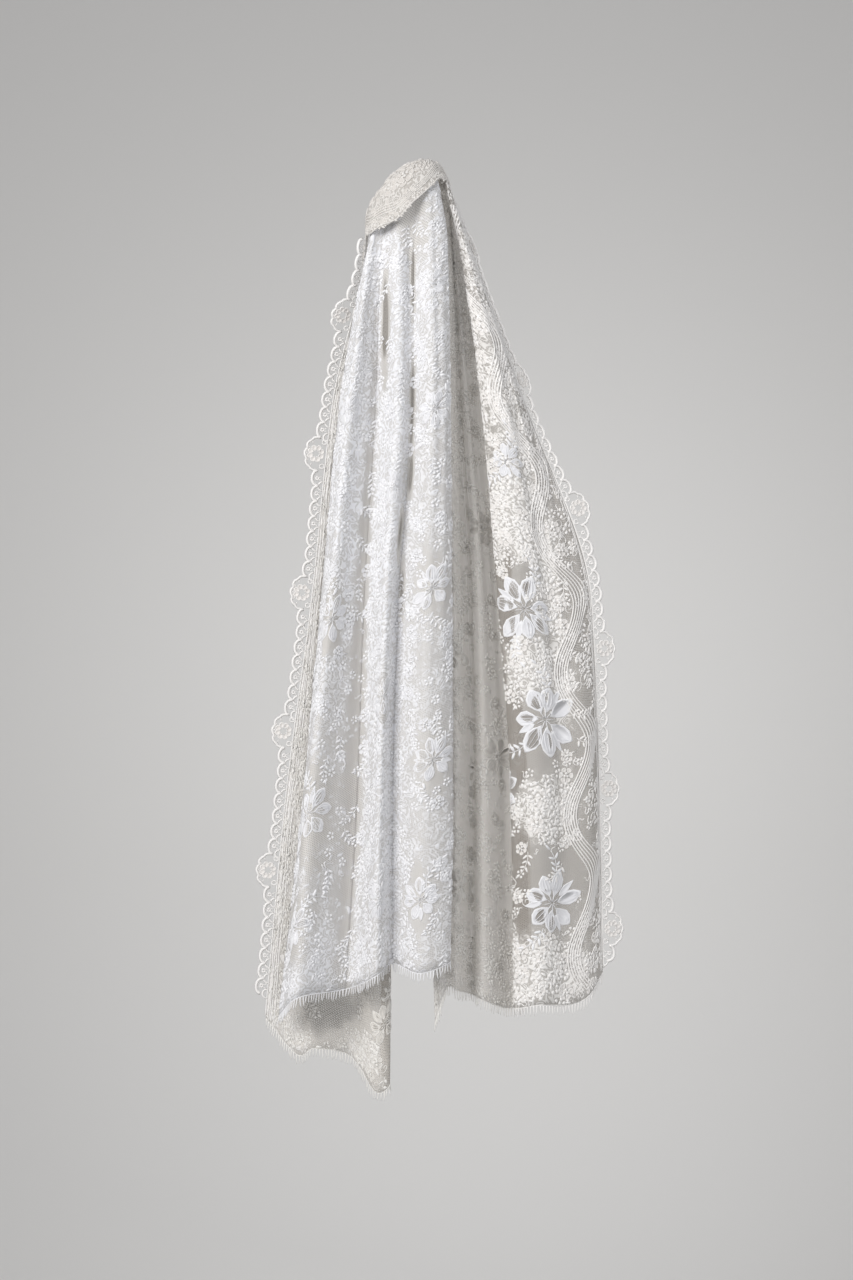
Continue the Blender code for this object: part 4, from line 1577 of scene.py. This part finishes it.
# Large lilies by chain: fold number, drop, size in mm.
FRONT_LILIES = (
    (1.10, 600.0, 66.0), (0.95, 851.0, 74.0), (0.60, 1000.0, 60.0), (3.2, 960.0, 60.0),
    (3.0, 700.0, 54.0), (5.1, 330.0, 56.0), (5.2, 560.0, 64.0), (5.3, 780.0, 66.0),
    (5.0, 960.0, 62.0), (3.1, 430.0, 48.0), (0.9, 330.0, 50.0), (5.0, 170.0, 46.0),
)
BACK_LEFT_LILIES = ((2.2, 700.0, 62.0), (4.4, 860.0, 60.0), (4.5, 1130.0, 52.0), (3.9, 480.0, 58.0))
BACK_CENTRE_LILIES = ((1.4, 640.0, 52.0), (4.6, 780.0, 60.0), (2.2, 950.0, 56.0), (4.4, 480.0, 52.0))
RIGHT_LILIES = (
    (1.95, 587.0, 88.0), (2.35, 730.0, 96.0), (2.45, 968.0, 88.0), (1.95, 395.0, 50.0),
    (0.5, 820.0, 60.0),
)


@dataclass(frozen=True)
class Cell:
    """One scallop of the border.

    Attributes:
        length: Its length along the edge in millimetres.
        bump: How far it stands out.
        notch: How far the notch after it stands out.
        centre: How far out its ring lies.
        rosette: Whether it holds a rosette in place of a ring.
    """

    length: float
    bump: float
    notch: float
    centre: float
    rosette: bool = False


BORDER_REPEAT = (
    *(Cell(20.0, 16.5, 6.0, 9.0),) * 5, Cell(20.0, 18.0, 10.0, 10.0),
    Cell(44.0, 30.0, 10.0, 14.6, True), Cell(20.0, 18.0, 6.0, 10.0),
)


@dataclass
class ScallopedBorder:
    """Corded scallops with rings and rosettes along one long edge."""

    node: str
    chain: Chain
    outward_x: float
    start: float
    phase: int
    shapes: Shapes
    seed: int
    seam: float = 0.6
    top_share: float = 0.85
    growth: float = 60.0

    def edge_map(self) -> EdgeMap:
        """Follow the edge of the cloth."""
        rows = 160
        left = self.outward_x < 0.0
        edge = 0.0 if left else float(len(self.chain.folds) - 1)
        along = np.linspace(0.0, 1.0, rows)
        cloth = Cloth(self.chain.folds)
        point, _ = cloth.at(np.full(rows, edge), along)
        inner, _ = cloth.at(np.full(rows, edge + (0.02 if left else -0.02)), along)
        down = unit(np.gradient(point, axis=0))
        level = point - inner
        level = unit(level - down * np.sum(level * down, axis=-1, keepdims=True))
        outward = unit(level + np.array([self.outward_x, 0.0, 0.0]))
        outward = unit(outward - down * np.sum(outward * down, axis=-1, keepdims=True))
        normal = unit(np.cross(outward, down)) * (1.0 if left else -1.0)
        return EdgeMap(point + self.seam * outward, outward, normal, self.top_share, self.growth)

    def build(self, material: Material) -> Piece:
        """Stitch the border and hang it on its edge."""
        edge = self.edge_map()
        work = Stitchery(self.shapes, self.seed)
        downs = np.arange(1.0, edge.length - 1.0, 6.0)
        work.thread(np.stack([np.full(len(downs), 0.8), downs], axis=-1), 2.2, 1.1)
        place = self.start
        notch = BORDER_REPEAT[self.phase - 1].notch
        for cell in itertools.islice(itertools.cycle(BORDER_REPEAT), self.phase, None):
            if place + cell.length > edge.length - 2.0:
                break
            draw = self.rosette if cell.rosette else self.scallop
            draw(work, place, notch, cell)
            place += cell.length
            notch = cell.notch
        return work.hang(edge, f"{self.node}_cordwork", material)

    def outline(self, place: float, notch: float, cell: Cell, waves: int, count: int) -> np.ndarray:
        """Outer line of a cell.

        Args:
            place: Where the cell starts along the edge.
            notch: How far out the line starts.
            cell: The cell.
            waves: Small waves along it.
            count: Number of points.

        Returns:
            Points as across and down.
        """
        turn = np.linspace(0.0, math.pi, count)
        low = notch + (cell.notch - notch) * (1.0 - np.cos(turn)) / 2.0
        lift = np.sin(turn) ** 0.8
        wave = 1.0 + (0.09 * np.abs(np.sin(waves * turn)) - 0.05 if waves else 0.0 * turn)
        out = (low + (cell.bump - 1.6 - low) * lift) * wave
        down = place + cell.length / 2.0 * (1.0 - np.cos(turn))
        return np.stack([out, down], axis=-1)

    def scallop(self, work: Stitchery, place: float, notch: float, cell: Cell) -> None:
        """Stitch one ringed scallop, with a smaller arc at the notch after it."""
        middle = place + cell.length / 2.0
        work.thread(self.outline(place, notch, cell, 0, 13), 4.7, 2.0)
        work.arc((cell.centre - 0.6, middle), 2.0, 0.0, FULL_TURN, 2.8)
        for side in (-1.0, 1.0):
            path = np.array([[2.0, middle + side * 3.5], [cell.centre - 2.6, middle + side]])
            work.thread(path, 1.2, 0.8)
        work.arc((1.2, place + cell.length), 6.0, -math.pi / 2.0, math.pi, 2.8, points=9)

    def rosette(self, work: Stitchery, place: float, notch: float, cell: Cell) -> None:
        """Stitch one rosette inside its waved outer line."""
        middle = (cell.centre, place + cell.length / 2.0)
        for way in spokes(8, FULL_TURN / 16.0):
            work.patch(self.shapes.petal, offset(middle, way, 3.3), way, 8.4, 8.6, 1.8)
        work.thread(self.outline(place, notch, cell, 5, 31), 3.8, 1.6)
        for turn in (-1.1, -0.55, 0.0, 0.55, 1.1):
            reach = np.array([11.4, 14.2])
            path = np.stack([middle[0] + reach * math.cos(turn) * 0.9,
                             middle[1] + reach * math.sin(turn) * 1.25], axis=-1)
            work.thread(path, 1.3, 0.7)
        for side in (-1.0, 1.0):
            work.arc((5.0, middle[1] + side * 16.0), 3.0, 0.0, FULL_TURN, 2.4)


@dataclass
class Crown:
    """The middle of the veil over the peg: dense cream lace with corded rims.

    Attributes:
        shapes: The shapes that its motifs are made of.
        columns: Points of its net round it.
        rows: Points of its net down it.
        rim_cords: How far in from the rim each cord lies, in millimetres.
        bare: Width of the rim's band, in millimetres, where no rose lies.
        area: Its flat area in square metres, once its net is made.
    """

    shapes: Shapes
    columns: int = 80
    rows: int = 26
    rim_cords: tuple[float, ...] = (1.5, 15.0, 18.6, 22.2, 25.8)
    bare: float = 28.5
    area: float = 0.0

    def net(self, material: Material) -> Piece:
        """Make the crown's ground as a thin shell with a closed top."""
        angles = np.arange(self.columns) * 360.0 / self.columns
        shares = (np.arange(1, self.rows + 1) / self.rows) ** 2
        drops = shares[:, None] * rim_drop(angles)[None, :]
        turns = angles[None, :] + 0.0 * drops
        points = crown_point(turns, drops)
        points = points + crown_normal(turns, drops) * uneven(points, 0.5)[..., None]
        steps = np.linalg.norm(np.diff(points, axis=0), axis=-1)
        first = np.linalg.norm(points[:1] - np.array([0.0, KNOB_DEPTH, 0.0]), axis=-1)
        reach = np.cumsum(np.concatenate([first, steps]), axis=0)
        flat = np.stack([reach * np.cos(np.radians(turns)), reach * np.sin(np.radians(turns))], axis=-1)
        vertices = np.concatenate([[[0.0, KNOB_DEPTH, 0.0]], points.reshape(-1, 3)])
        places = np.concatenate([[[0.0, 0.0]], flat.reshape(-1, 2)])
        faces: list[tuple[int, ...]] = []
        for column in range(self.columns):
            after = (column + 1) % self.columns
            faces.append((0, 1 + column, 1 + after))
            for row in range(self.rows - 1):
                a = 1 + row * self.columns
                b = a + self.columns
                faces.append((a + column, b + column, b + after, a + after))
        piece = new_net("crown_drape_net", vertices, faces, places, np.ones(len(vertices)), material)
        self.area = sum(face.area for face in piece.data.polygons)
        thin_shell(piece)
        return piece

    def stitching(self, material: Material) -> Piece:
        """Stitch flowers over the crown and cords along its rim."""
        cloth = CrownMap()
        work = Stitchery(self.shapes, 11)
        angles = np.arange(0.0, 360.1, 4.0)
        ends = np.array([cloth.rim(float(a)) for a in angles])
        for inset in self.rim_cords:
            sway = 1.2 * np.sin(np.radians(angles * 9.0)) + 1.0 * np.sin(np.radians(angles * 4.0))
            path = np.stack([angles * cloth.per_degree, ends - inset + sway], axis=-1)
            work.thread(path, 2.0, 1.6)
        # Leaves and blossoms run along the rim, a pair about every 6 mm.
        for angle in np.arange(3.0, 360.0, 6.5):
            at = (angle * cloth.per_degree, cloth.rim(float(angle)) - work.rng.uniform(5.0, 11.0))
            side = math.copysign(math.pi / 2.0, work.rng.uniform(-1.0, 1.0))
            work.patch(self.shapes.leaf, at, side + work.rng.uniform(-0.4, 0.4), 5.5,
                       work.rng.uniform(8.0, 12.0), 1.0)
            near = cloth.rim(float(angle)) - work.rng.uniform(-0.5, 7.0)
            work.blossom((at[0] + work.rng.uniform(-3.0, 3.0), near), work.rng.uniform(7.0, 11.0))
        span = (0.0, 360.0 * cloth.per_degree, 8.0, 118.0)
        heads: list[Spot] = []

        def draw_rose(at: Spot, share: float) -> None:
            """Draw a full rose and keep its place, clear of the rim's cords."""
            if cloth.rim(at[0] / cloth.per_degree) - at[1] > self.bare + 12.0:
                heads.append(at)
                work.rose(at, work.rng.uniform(24.0, 30.0), 1.3)

        def draw_leaf(at: Spot, share: float) -> None:
            """Draw a leaf where no rose lies, clear of the rim's cords."""
            if cloth.rim(at[0] / cloth.per_degree) - at[1] < self.bare:
                return
            if all(math.hypot(at[0] - h[0], at[1] - h[1]) > 12.5 for h in heads):
                work.patch(self.shapes.leaf, at, work.rng.uniform(0.0, ANY_TURN), 6.0, 12.0, 1.3)

        work.scatter(cloth, 27.0, 900, lambda a, d: 1.0, draw_rose, span)
        work.scatter(cloth, 7.5, 900, lambda a, d: 0.9, draw_leaf, span)
        return work.hang(cloth, "crown_drape_stitching", material)


@dataclass(frozen=True)
class Tries:
    """How many places are tried for each kind of strewn motif."""

    sprigs: int = 300
    roses: int = 700
    curls: int = 1500
    blossoms: int = 1500


@dataclass
class Stitching:
    """Motifs of one chain: lilies at listed places, then sprigs, roses, cords and blossoms by density.

    Attributes:
        chain: Cloth that carries them.
        shapes: The shapes that they are made of.
        seed: Start of the random numbers.
        lilies: Fold number, drop and size of each lily.
        first: First fold that this piece covers.
        last: Fold where it ends.
        tries: How many strewn motifs are tried.
        draw_lilies: Whether the lilies are drawn here or only kept clear.
    """

    chain: Chain
    shapes: Shapes
    seed: int
    lilies: tuple[tuple[float, float, float], ...]
    first: float = 0.0
    last: float = 7.0
    tries: Tries = Tries()
    draw_lilies: bool = True

    def chance(self, fold: float, drop: float, gain: float, loss: float) -> float:
        """Share of places that carry a motif, none outside this piece's folds."""
        if not self.first <= fold < self.last:
            return 0.0
        return gain * float(self.chain.cover(np.array(fold), np.array(drop))) - loss

    def work(self) -> Stitchery:
        """Lay out the motifs flat."""
        cloth = self.chain.map
        work = Stitchery(self.shapes, self.seed)
        heads = []
        for fold, drop, size in self.lilies:
            at = cloth.spot(fold, drop)
            heads.append((at[0], at[1], 0.46 * size))
            if not self.draw_lilies or not self.first <= fold < self.last:
                continue
            work.bloom(at, size)
            for turn in (work.rng.uniform(-0.9, -0.3), work.rng.uniform(2.4, 3.4)):
                start = offset(at, turn, 0.40 * size)
                work.sprig(start, turn, 34.0, 3, 12.0, work.rng.choice([-1.0, 1.0]) * 1.1)

        def clear(at: Spot) -> bool:
            """Whether a place is clear of the lilies."""
            return all(math.hypot(at[0] - h[0], at[1] - h[1]) > h[2] for h in heads)

        def draw_sprig(at: Spot, share: float) -> None:
            """Draw a sprig that ends in a blossom."""
            if clear(at):
                end = work.sprig(at, work.rng.uniform(-0.8, 0.8), 30.0, 3, 10.0,
                                 work.rng.choice([-1.0, 1.0]))
                work.blossom(end, 12.0)

        def draw_rose(at: Spot, share: float) -> None:
            """Draw a rose, with a scroll beside some of them."""
            if clear(at):
                work.rose(at, 16.0 + 7.0 * share)
                if work.rng.uniform() < 0.4:
                    work.scroll((at[0] + 13.0, at[1] + 7.0), 13.0)

        def draw_curl(at: Spot, share: float) -> None:
            """Draw a winding cord."""
            if clear(at):
                work.curl(at, work.rng.uniform(14.0, 26.0))

        def draw_blossom(at: Spot, share: float) -> None:
            """Draw a blossom."""
            if clear(at):
                work.blossom(at, 10.0 + 5.0 * share)

        passes = (
            (32.0, self.tries.sprigs, 1.0, -0.25, draw_sprig),
            (19.0, self.tries.roses, 1.4, 0.35, draw_rose),
            (9.0, self.tries.curls, 1.4, 0.15, draw_curl),
            (12.0, self.tries.blossoms, 1.5, 0.30, draw_blossom),
        )
        for spacing, tries, gain, loss, draw in passes:
            chance = partial(self.chance, gain=gain, loss=loss)
            work.scatter(cloth, spacing, tries, chance, draw, self.chain.span())
        return work


def edge_cords(work: Stitchery, cloth: FlatMap, insets: Sequence[float], width: float) -> None:
    """Run cords along the anchored edge of a cloth.

    Args:
        work: Stitching that gets them.
        cloth: Cloth that they lie on.
        insets: How far in from the edge each lies.
        width: Width of a cord.
    """
    side = 1.0 if cloth.anchor is Anchor.LEFT else -1.0
    downs = np.arange(2.0, cloth.length - 2.0, 5.0)
    for inset in insets:
        sway = 0.8 * np.sin(downs / 23.0 + inset)
        work.thread(np.stack([side * inset + sway, downs], axis=-1), width, 1.0)


@dataclass
class CordBands:
    """Bands of parallel cords that swing in and out down the right fall."""

    cloth: FlatMap
    period: float = 178.0
    junction_drop: float = 650.0
    near: float = 8.0
    swing: float = 42.0
    cords: int = 6
    spacing: float = 4.6
    scrolls: tuple[Spot, ...] = ((-24.0, -12.0), (-24.0, 12.0))
    blossoms: tuple[Spot, ...] = (
        (-12.0, 0.0), (-12.0, -22.0), (-12.0, 22.0), (-84.0, 0.0), (-84.0, 18.0), (-84.0, -18.0),
    )

    def draw(self, work: Stitchery) -> None:
        """Draw the bands, with scrolls and blossoms where they swing farthest in."""
        _, junction = self.cloth.spot(5.0, self.junction_drop)
        downs = np.arange(30.0, self.cloth.length - 6.0, 4.0)
        beat = np.abs(np.cos(math.pi * (downs - junction) / self.period)) ** 1.8
        for number in range(self.cords):
            inset = self.near + self.swing * beat + number * self.spacing * (1.0 - 0.25 * beat)
            work.thread(np.stack([-inset, downs], axis=-1), 2.1, 2.0)
        place = junction - math.floor(junction / self.period) * self.period
        while place < self.cloth.length - 20.0:
            for across, shift in self.scrolls:
                work.scroll((across, place + shift), 20.0)
            for across, shift in self.blossoms:
                work.blossom((across, place + shift), 15.0)
            place += self.period


@dataclass
class Peg:
    """The turned wall peg, which keeps the shape that it has."""

    node: str = "wall_peg"

    def dress(self, paint: Material) -> None:
        """Paint the peg."""
        peg = bpy.data.objects[self.node]
        for place in peg.material_slots:
            place.material = paint
        LOG.info("%s: painted", self.node)


@dataclass
class Studio:
    """Camera, soft light, floor and a far backdrop."""

    camera_place: tuple[float, float, float] = (-0.002, -3.30, -0.610)
    lens: float = 70.0
    wall_distance: float = 5.5
    floor_height: float = -2.75
    sweep: float = 1.4

    def build(self) -> None:
        """Set up the studio."""
        self.camera()
        veil = (0.0, 0.0, -0.6)
        self.light("key_light", (-2.1, -2.8, 0.9), 1.7, 102.0, (1.0, 0.992, 0.985), veil)
        self.light("fill_light", (2.8, -3.0, 0.2), 2.4, 28.0, (0.96, 0.98, 1.0), veil)
        self.light("back_light", (1.2, 3.0, 0.5), 2.2, 52.0, (1.0, 0.99, 0.98), veil)
        self.light("wall_light", (0.25, 3.0, -0.75), 1.6, 29.0, (0.985, 0.99, 1.0),
                   (0.25, self.wall_distance, -0.75))
        self.backdrop()
        self.world()

    def camera(self) -> None:
        """Place the camera level with the veil's middle."""
        data = bpy.data.cameras.new("camera")
        data.lens = self.lens
        camera = bpy.data.objects.new("camera", data)
        camera.location = self.camera_place
        camera.rotation_euler = (math.radians(90.0), 0.0, 0.0)
        bpy.context.scene.collection.objects.link(camera)
        bpy.context.scene.camera = camera

    def light(self, name: str, place: tuple[float, float, float], size: float, power: float,
              colour: tuple[float, float, float], target: tuple[float, float, float]) -> None:
        """Add a square light that is not seen itself.

        Args:
            name: Name of the light.
            place: Where it stands.
            size: Length of its side in metres.
            power: Its power in watts.
            colour: Its linear colour.
            target: Point that it faces.
        """
        data = bpy.data.lights.new(name, "AREA")
        data.size = size
        data.energy = power
        data.color = colour
        lamp = bpy.data.objects.new(name, data)
        lamp.location = place
        aim = np.array(target) - np.array(place)
        lamp.rotation_euler = (math.acos(-aim[2] / np.linalg.norm(aim)), 0.0,
                               math.atan2(aim[1], aim[0]) - math.pi / 2.0)
        lamp.visible_camera = False
        bpy.context.scene.collection.objects.link(lamp)

    def backdrop(self) -> None:
        """Make the floor and the far wall as one swept sheet."""
        profile = [(-9.0, self.floor_height), (self.wall_distance - self.sweep, self.floor_height)]
        for number in range(1, 13):
            turn = math.pi / 2.0 * number / 12
            profile.append((self.wall_distance - self.sweep + self.sweep * math.sin(turn),
                            self.floor_height + self.sweep * (1.0 - math.cos(turn))))
        profile.append((self.wall_distance, 6.0))
        points = [(x, y, z) for x in (-9.0, 9.0) for y, z in profile]
        count = len(profile)
        faces = [(a, a + 1, count + a + 1, count + a) for a in range(count - 1)]
        wall = Graph("pale_plaster", {"Base Color": linear("#D5D4D2"), "Roughness": 0.95})
        sheet = new_piece("backdrop", np.array(points), faces, wall.material)

    def world(self) -> None:
        """Fill the room with even pale light."""
        scene = bpy.context.scene
        world = bpy.data.worlds.new("pale_room")
        world.use_nodes = True
        sky = world.node_tree.nodes["Background"]
        sky.inputs["Color"].default_value = linear("#D6D6D8")
        sky.inputs["Strength"].default_value = 0.62
        scene.world = world
        scene.view_settings.view_transform = "Standard"
        scene.cycles.transparent_max_bounces = 32


def enter(piece: Piece, node: Optional[str] = None) -> Piece:
    """Tell the frame a piece's body, and the solid that it replaces.

    Args:
        piece: The finished piece.
        node: The solid that it replaces, where it replaces one.

    Returns:
        The same piece.
    """
    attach(piece, "root")
    if node is not None:
        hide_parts(node)
    return piece


@dataclass
class Veil:
    """The whole veil on its peg."""

    shapes: Shapes
    front: Chain
    back_left: Chain
    back_centre: Chain
    right: Chain

    def threads(self) -> dict[Tone, Material]:
        """Cotton thread in each tone."""
        return {
            Tone.WHITE: CottonThread("white_cotton_thread", "#F5F5F7", "#E7E7EA").material(),
            Tone.CREAM: CottonThread("cream_cotton_thread", "#F7F5F3", "#EAE6E2").material(),
            # The back layers' thread is a darker copy of the white thread: painted shade.
            Tone.SHADED: CottonThread("shaded_cotton_thread", "#EFEDE9", "#DAD6D0").material(),
        }

    def nets(self) -> dict[Tone, Material]:
        """Bobbin net in each tone."""
        return {
            # Each net's thread is greyed below its white thread as painted shade; the cream net's is
            # darkest, for the shade behind the right fall.
            Tone.WHITE: BobbinNet("white_bobbin_net", "#DCD9D5", "#EFF0F4", gauze=0.48).material(),
            Tone.CREAM: BobbinNet("cream_bobbin_net", "#ABA59E", "#F3F1EE", gauze=0.26).material(),
            # The back layers' net is a darker, warmer copy of the white net: painted shade.
            Tone.SHADED: BobbinNet("shaded_bobbin_net", "#D8D3CC", "#F0EEEC",
                                   gauze=0.30).material(),
        }

    def falls(self) -> tuple[Fall, ...]:
        """Every hanging stretch."""
        return (
            Fall("front_left_fall", "fringe_front_left", self.front, 0, 2, Tone.WHITE),
            Fall("front_mid_fall", "fringe_front_mid", self.front, 2, 4, Tone.WHITE),
            Fall("front_right_fall", "fringe_front_right", self.front, 4, 7, Tone.WHITE),
            Fall("back_left_fall", "fringe_back_left", self.back_left, 0, 6, Tone.SHADED),
            Fall("back_centre_fall", "fringe_back_centre", self.back_centre, 0, 6, Tone.SHADED),
            Fall("right_fall", "fringe_right", self.right, 0, 5, Tone.CREAM),
        )

    def stitchings(self, threads: dict[Tone, Material]) -> dict[str, Piece]:
        """Stitch the motifs of each chain.

        Args:
            threads: Thread in each tone.

        Returns:
            The stitched piece that goes with each stretch, by the stretch's node.
        """
        front = partial(Stitching, self.front, self.shapes)
        jobs = (
            ("front_left_fall", Tone.WHITE,
             front(21, FRONT_LILIES, 0.0, 2.0, Tries(420, 330, 420, 600))),
            ("front_mid_fall", Tone.WHITE,
             front(25, FRONT_LILIES, 2.0, 4.0, Tries(420, 330, 420, 600))),
            ("front_right_fall", Tone.WHITE,
             front(26, FRONT_LILIES, 4.0, 7.0, Tries(420, 330, 480, 600))),
            ("back_left_fall", Tone.SHADED,
             Stitching(self.back_left, self.shapes, 22, BACK_LEFT_LILIES)),
            ("back_centre_fall", Tone.SHADED,
             Stitching(self.back_centre, self.shapes, 23, BACK_CENTRE_LILIES)),
            ("right_fall", Tone.CREAM,
             Stitching(self.right, self.shapes, 24, RIGHT_LILIES, tries=Tries(sprigs=800),
                       draw_lilies=False)),
            ("right_fall_lilies", Tone.WHITE,
             Stitching(self.right, self.shapes, 27, RIGHT_LILIES, tries=Tries(0, 0, 0, 0))),
        )
        return {
            node: enter(job.work().hang(job.chain.map, f"{node}_stitching", threads[tone]))
            for node, tone, job in jobs
        }

    def cordings(self, thread: Material) -> dict[str, Piece]:
        """Lay the cords that run beside the borders.

        Args:
            thread: What the cords are made of.

        Returns:
            The corded piece that goes with each stretch, by the stretch's node.
        """
        left = Stitchery(self.shapes, 51)
        edge_cords(left, self.back_left.map, (2.5, 6.0, 9.5, 14.5), 2.0)
        right = Stitchery(self.shapes, 52)
        edge_cords(right, self.right.map, (2.0, 4.8), 1.8)
        CordBands(self.right.map).draw(right)
        return {
            node: enter(work.hang(chain.map, f"{node}_cords", thread))
            for node, work, chain in (("back_left_fall", left, self.back_left),
                                      ("right_fall", right, self.right))
        }

    def build(self) -> None:
        """Build every piece of the veil."""
        threads = self.threads()
        nets = self.nets()
        stitched = self.stitchings(threads)
        corded = self.cordings(threads[Tone.CREAM])
        borders = {
            "back_left_fall": ScallopedBorder("left_scalloped_border", self.back_left, -1.0, 3.0, 2,
                                              self.shapes, 31),
            "right_fall": ScallopedBorder("right_scalloped_border", self.right, 1.0, 24.0, 4,
                                          self.shapes, 32, top_share=0.15, growth=430.0),
        }
        for number, fall in enumerate(self.falls()):
            net = fall.net(nets[fall.tone])
            fringe = fall.fringe(threads[fall.tone], 40 + number)
            carried = [fringe]
            carried += [piece for node, piece in stitched.items() if node.startswith(fall.node)]
            if fall.node in corded:
                carried.append(corded[fall.node])
            if fall.node in borders:
                border = borders[fall.node].build(threads[Tone.CREAM])
                carried.append(enter(border, borders[fall.node].node))
            enter(net, fall.node)
            enter(fringe, fall.fringe_node)
            width, length = fall.flat()
            min(fall.area(), width * length)
            LOG.info("%s: cut %.3f x %.3f m, %.3f m2", fall.node, width, length, fall.area())
        # The crown's net and thread are darker copies of the cream lace: painted shade where the crown
        # faces the key light.
        self.build_crown(BobbinNet("crown_shaded_bobbin_net", "#B9B3AB", "#DEDBD7").material(),
                         CottonThread("crown_shaded_cotton_thread", "#E6E3DF", "#D0CBC5").material())
        Peg().dress(MattPaint("matt_grey_paint", "#A5A39D", "#9A978F").material())

    def build_crown(self, net_material: Material, thread: Material) -> None:
        """Build the crown with its stitching."""
        crown = Crown(self.shapes)
        net = crown.net(net_material)
        stitching = crown.stitching(thread)
        enter(net, "crown_drape")
        enter(stitching)
        width = 1.1 * math.sqrt(crown.area)
        LOG.info("crown_drape: cut %.3f x %.3f m", width, crown.area / width)


def main() -> None:
    """Build the studio, the veil and its peg."""
    logging.basicConfig(level=logging.INFO, format="%(name)s: %(message)s")
    Studio().build()
    shapes = Shapes.model()
    veil = Veil(
        shapes,
        Chain(FRONT, FRONT_CREASES, Anchor.LEFT, 0.90, FRONT_ZONES),
        Chain(BACK_LEFT, BACK_LEFT_CREASES, Anchor.LEFT, 0.30, BACK_LEFT_ZONES),
        Chain(BACK_CENTRE, BACK_CENTRE_CREASES, Anchor.LEFT, 0.36, BACK_CENTRE_ZONES),
        Chain(RIGHT, RIGHT_CREASES, Anchor.RIGHT, 0.55, RIGHT_ZONES),
    )
    veil.build()


if __name__ == "__main__":
    main()
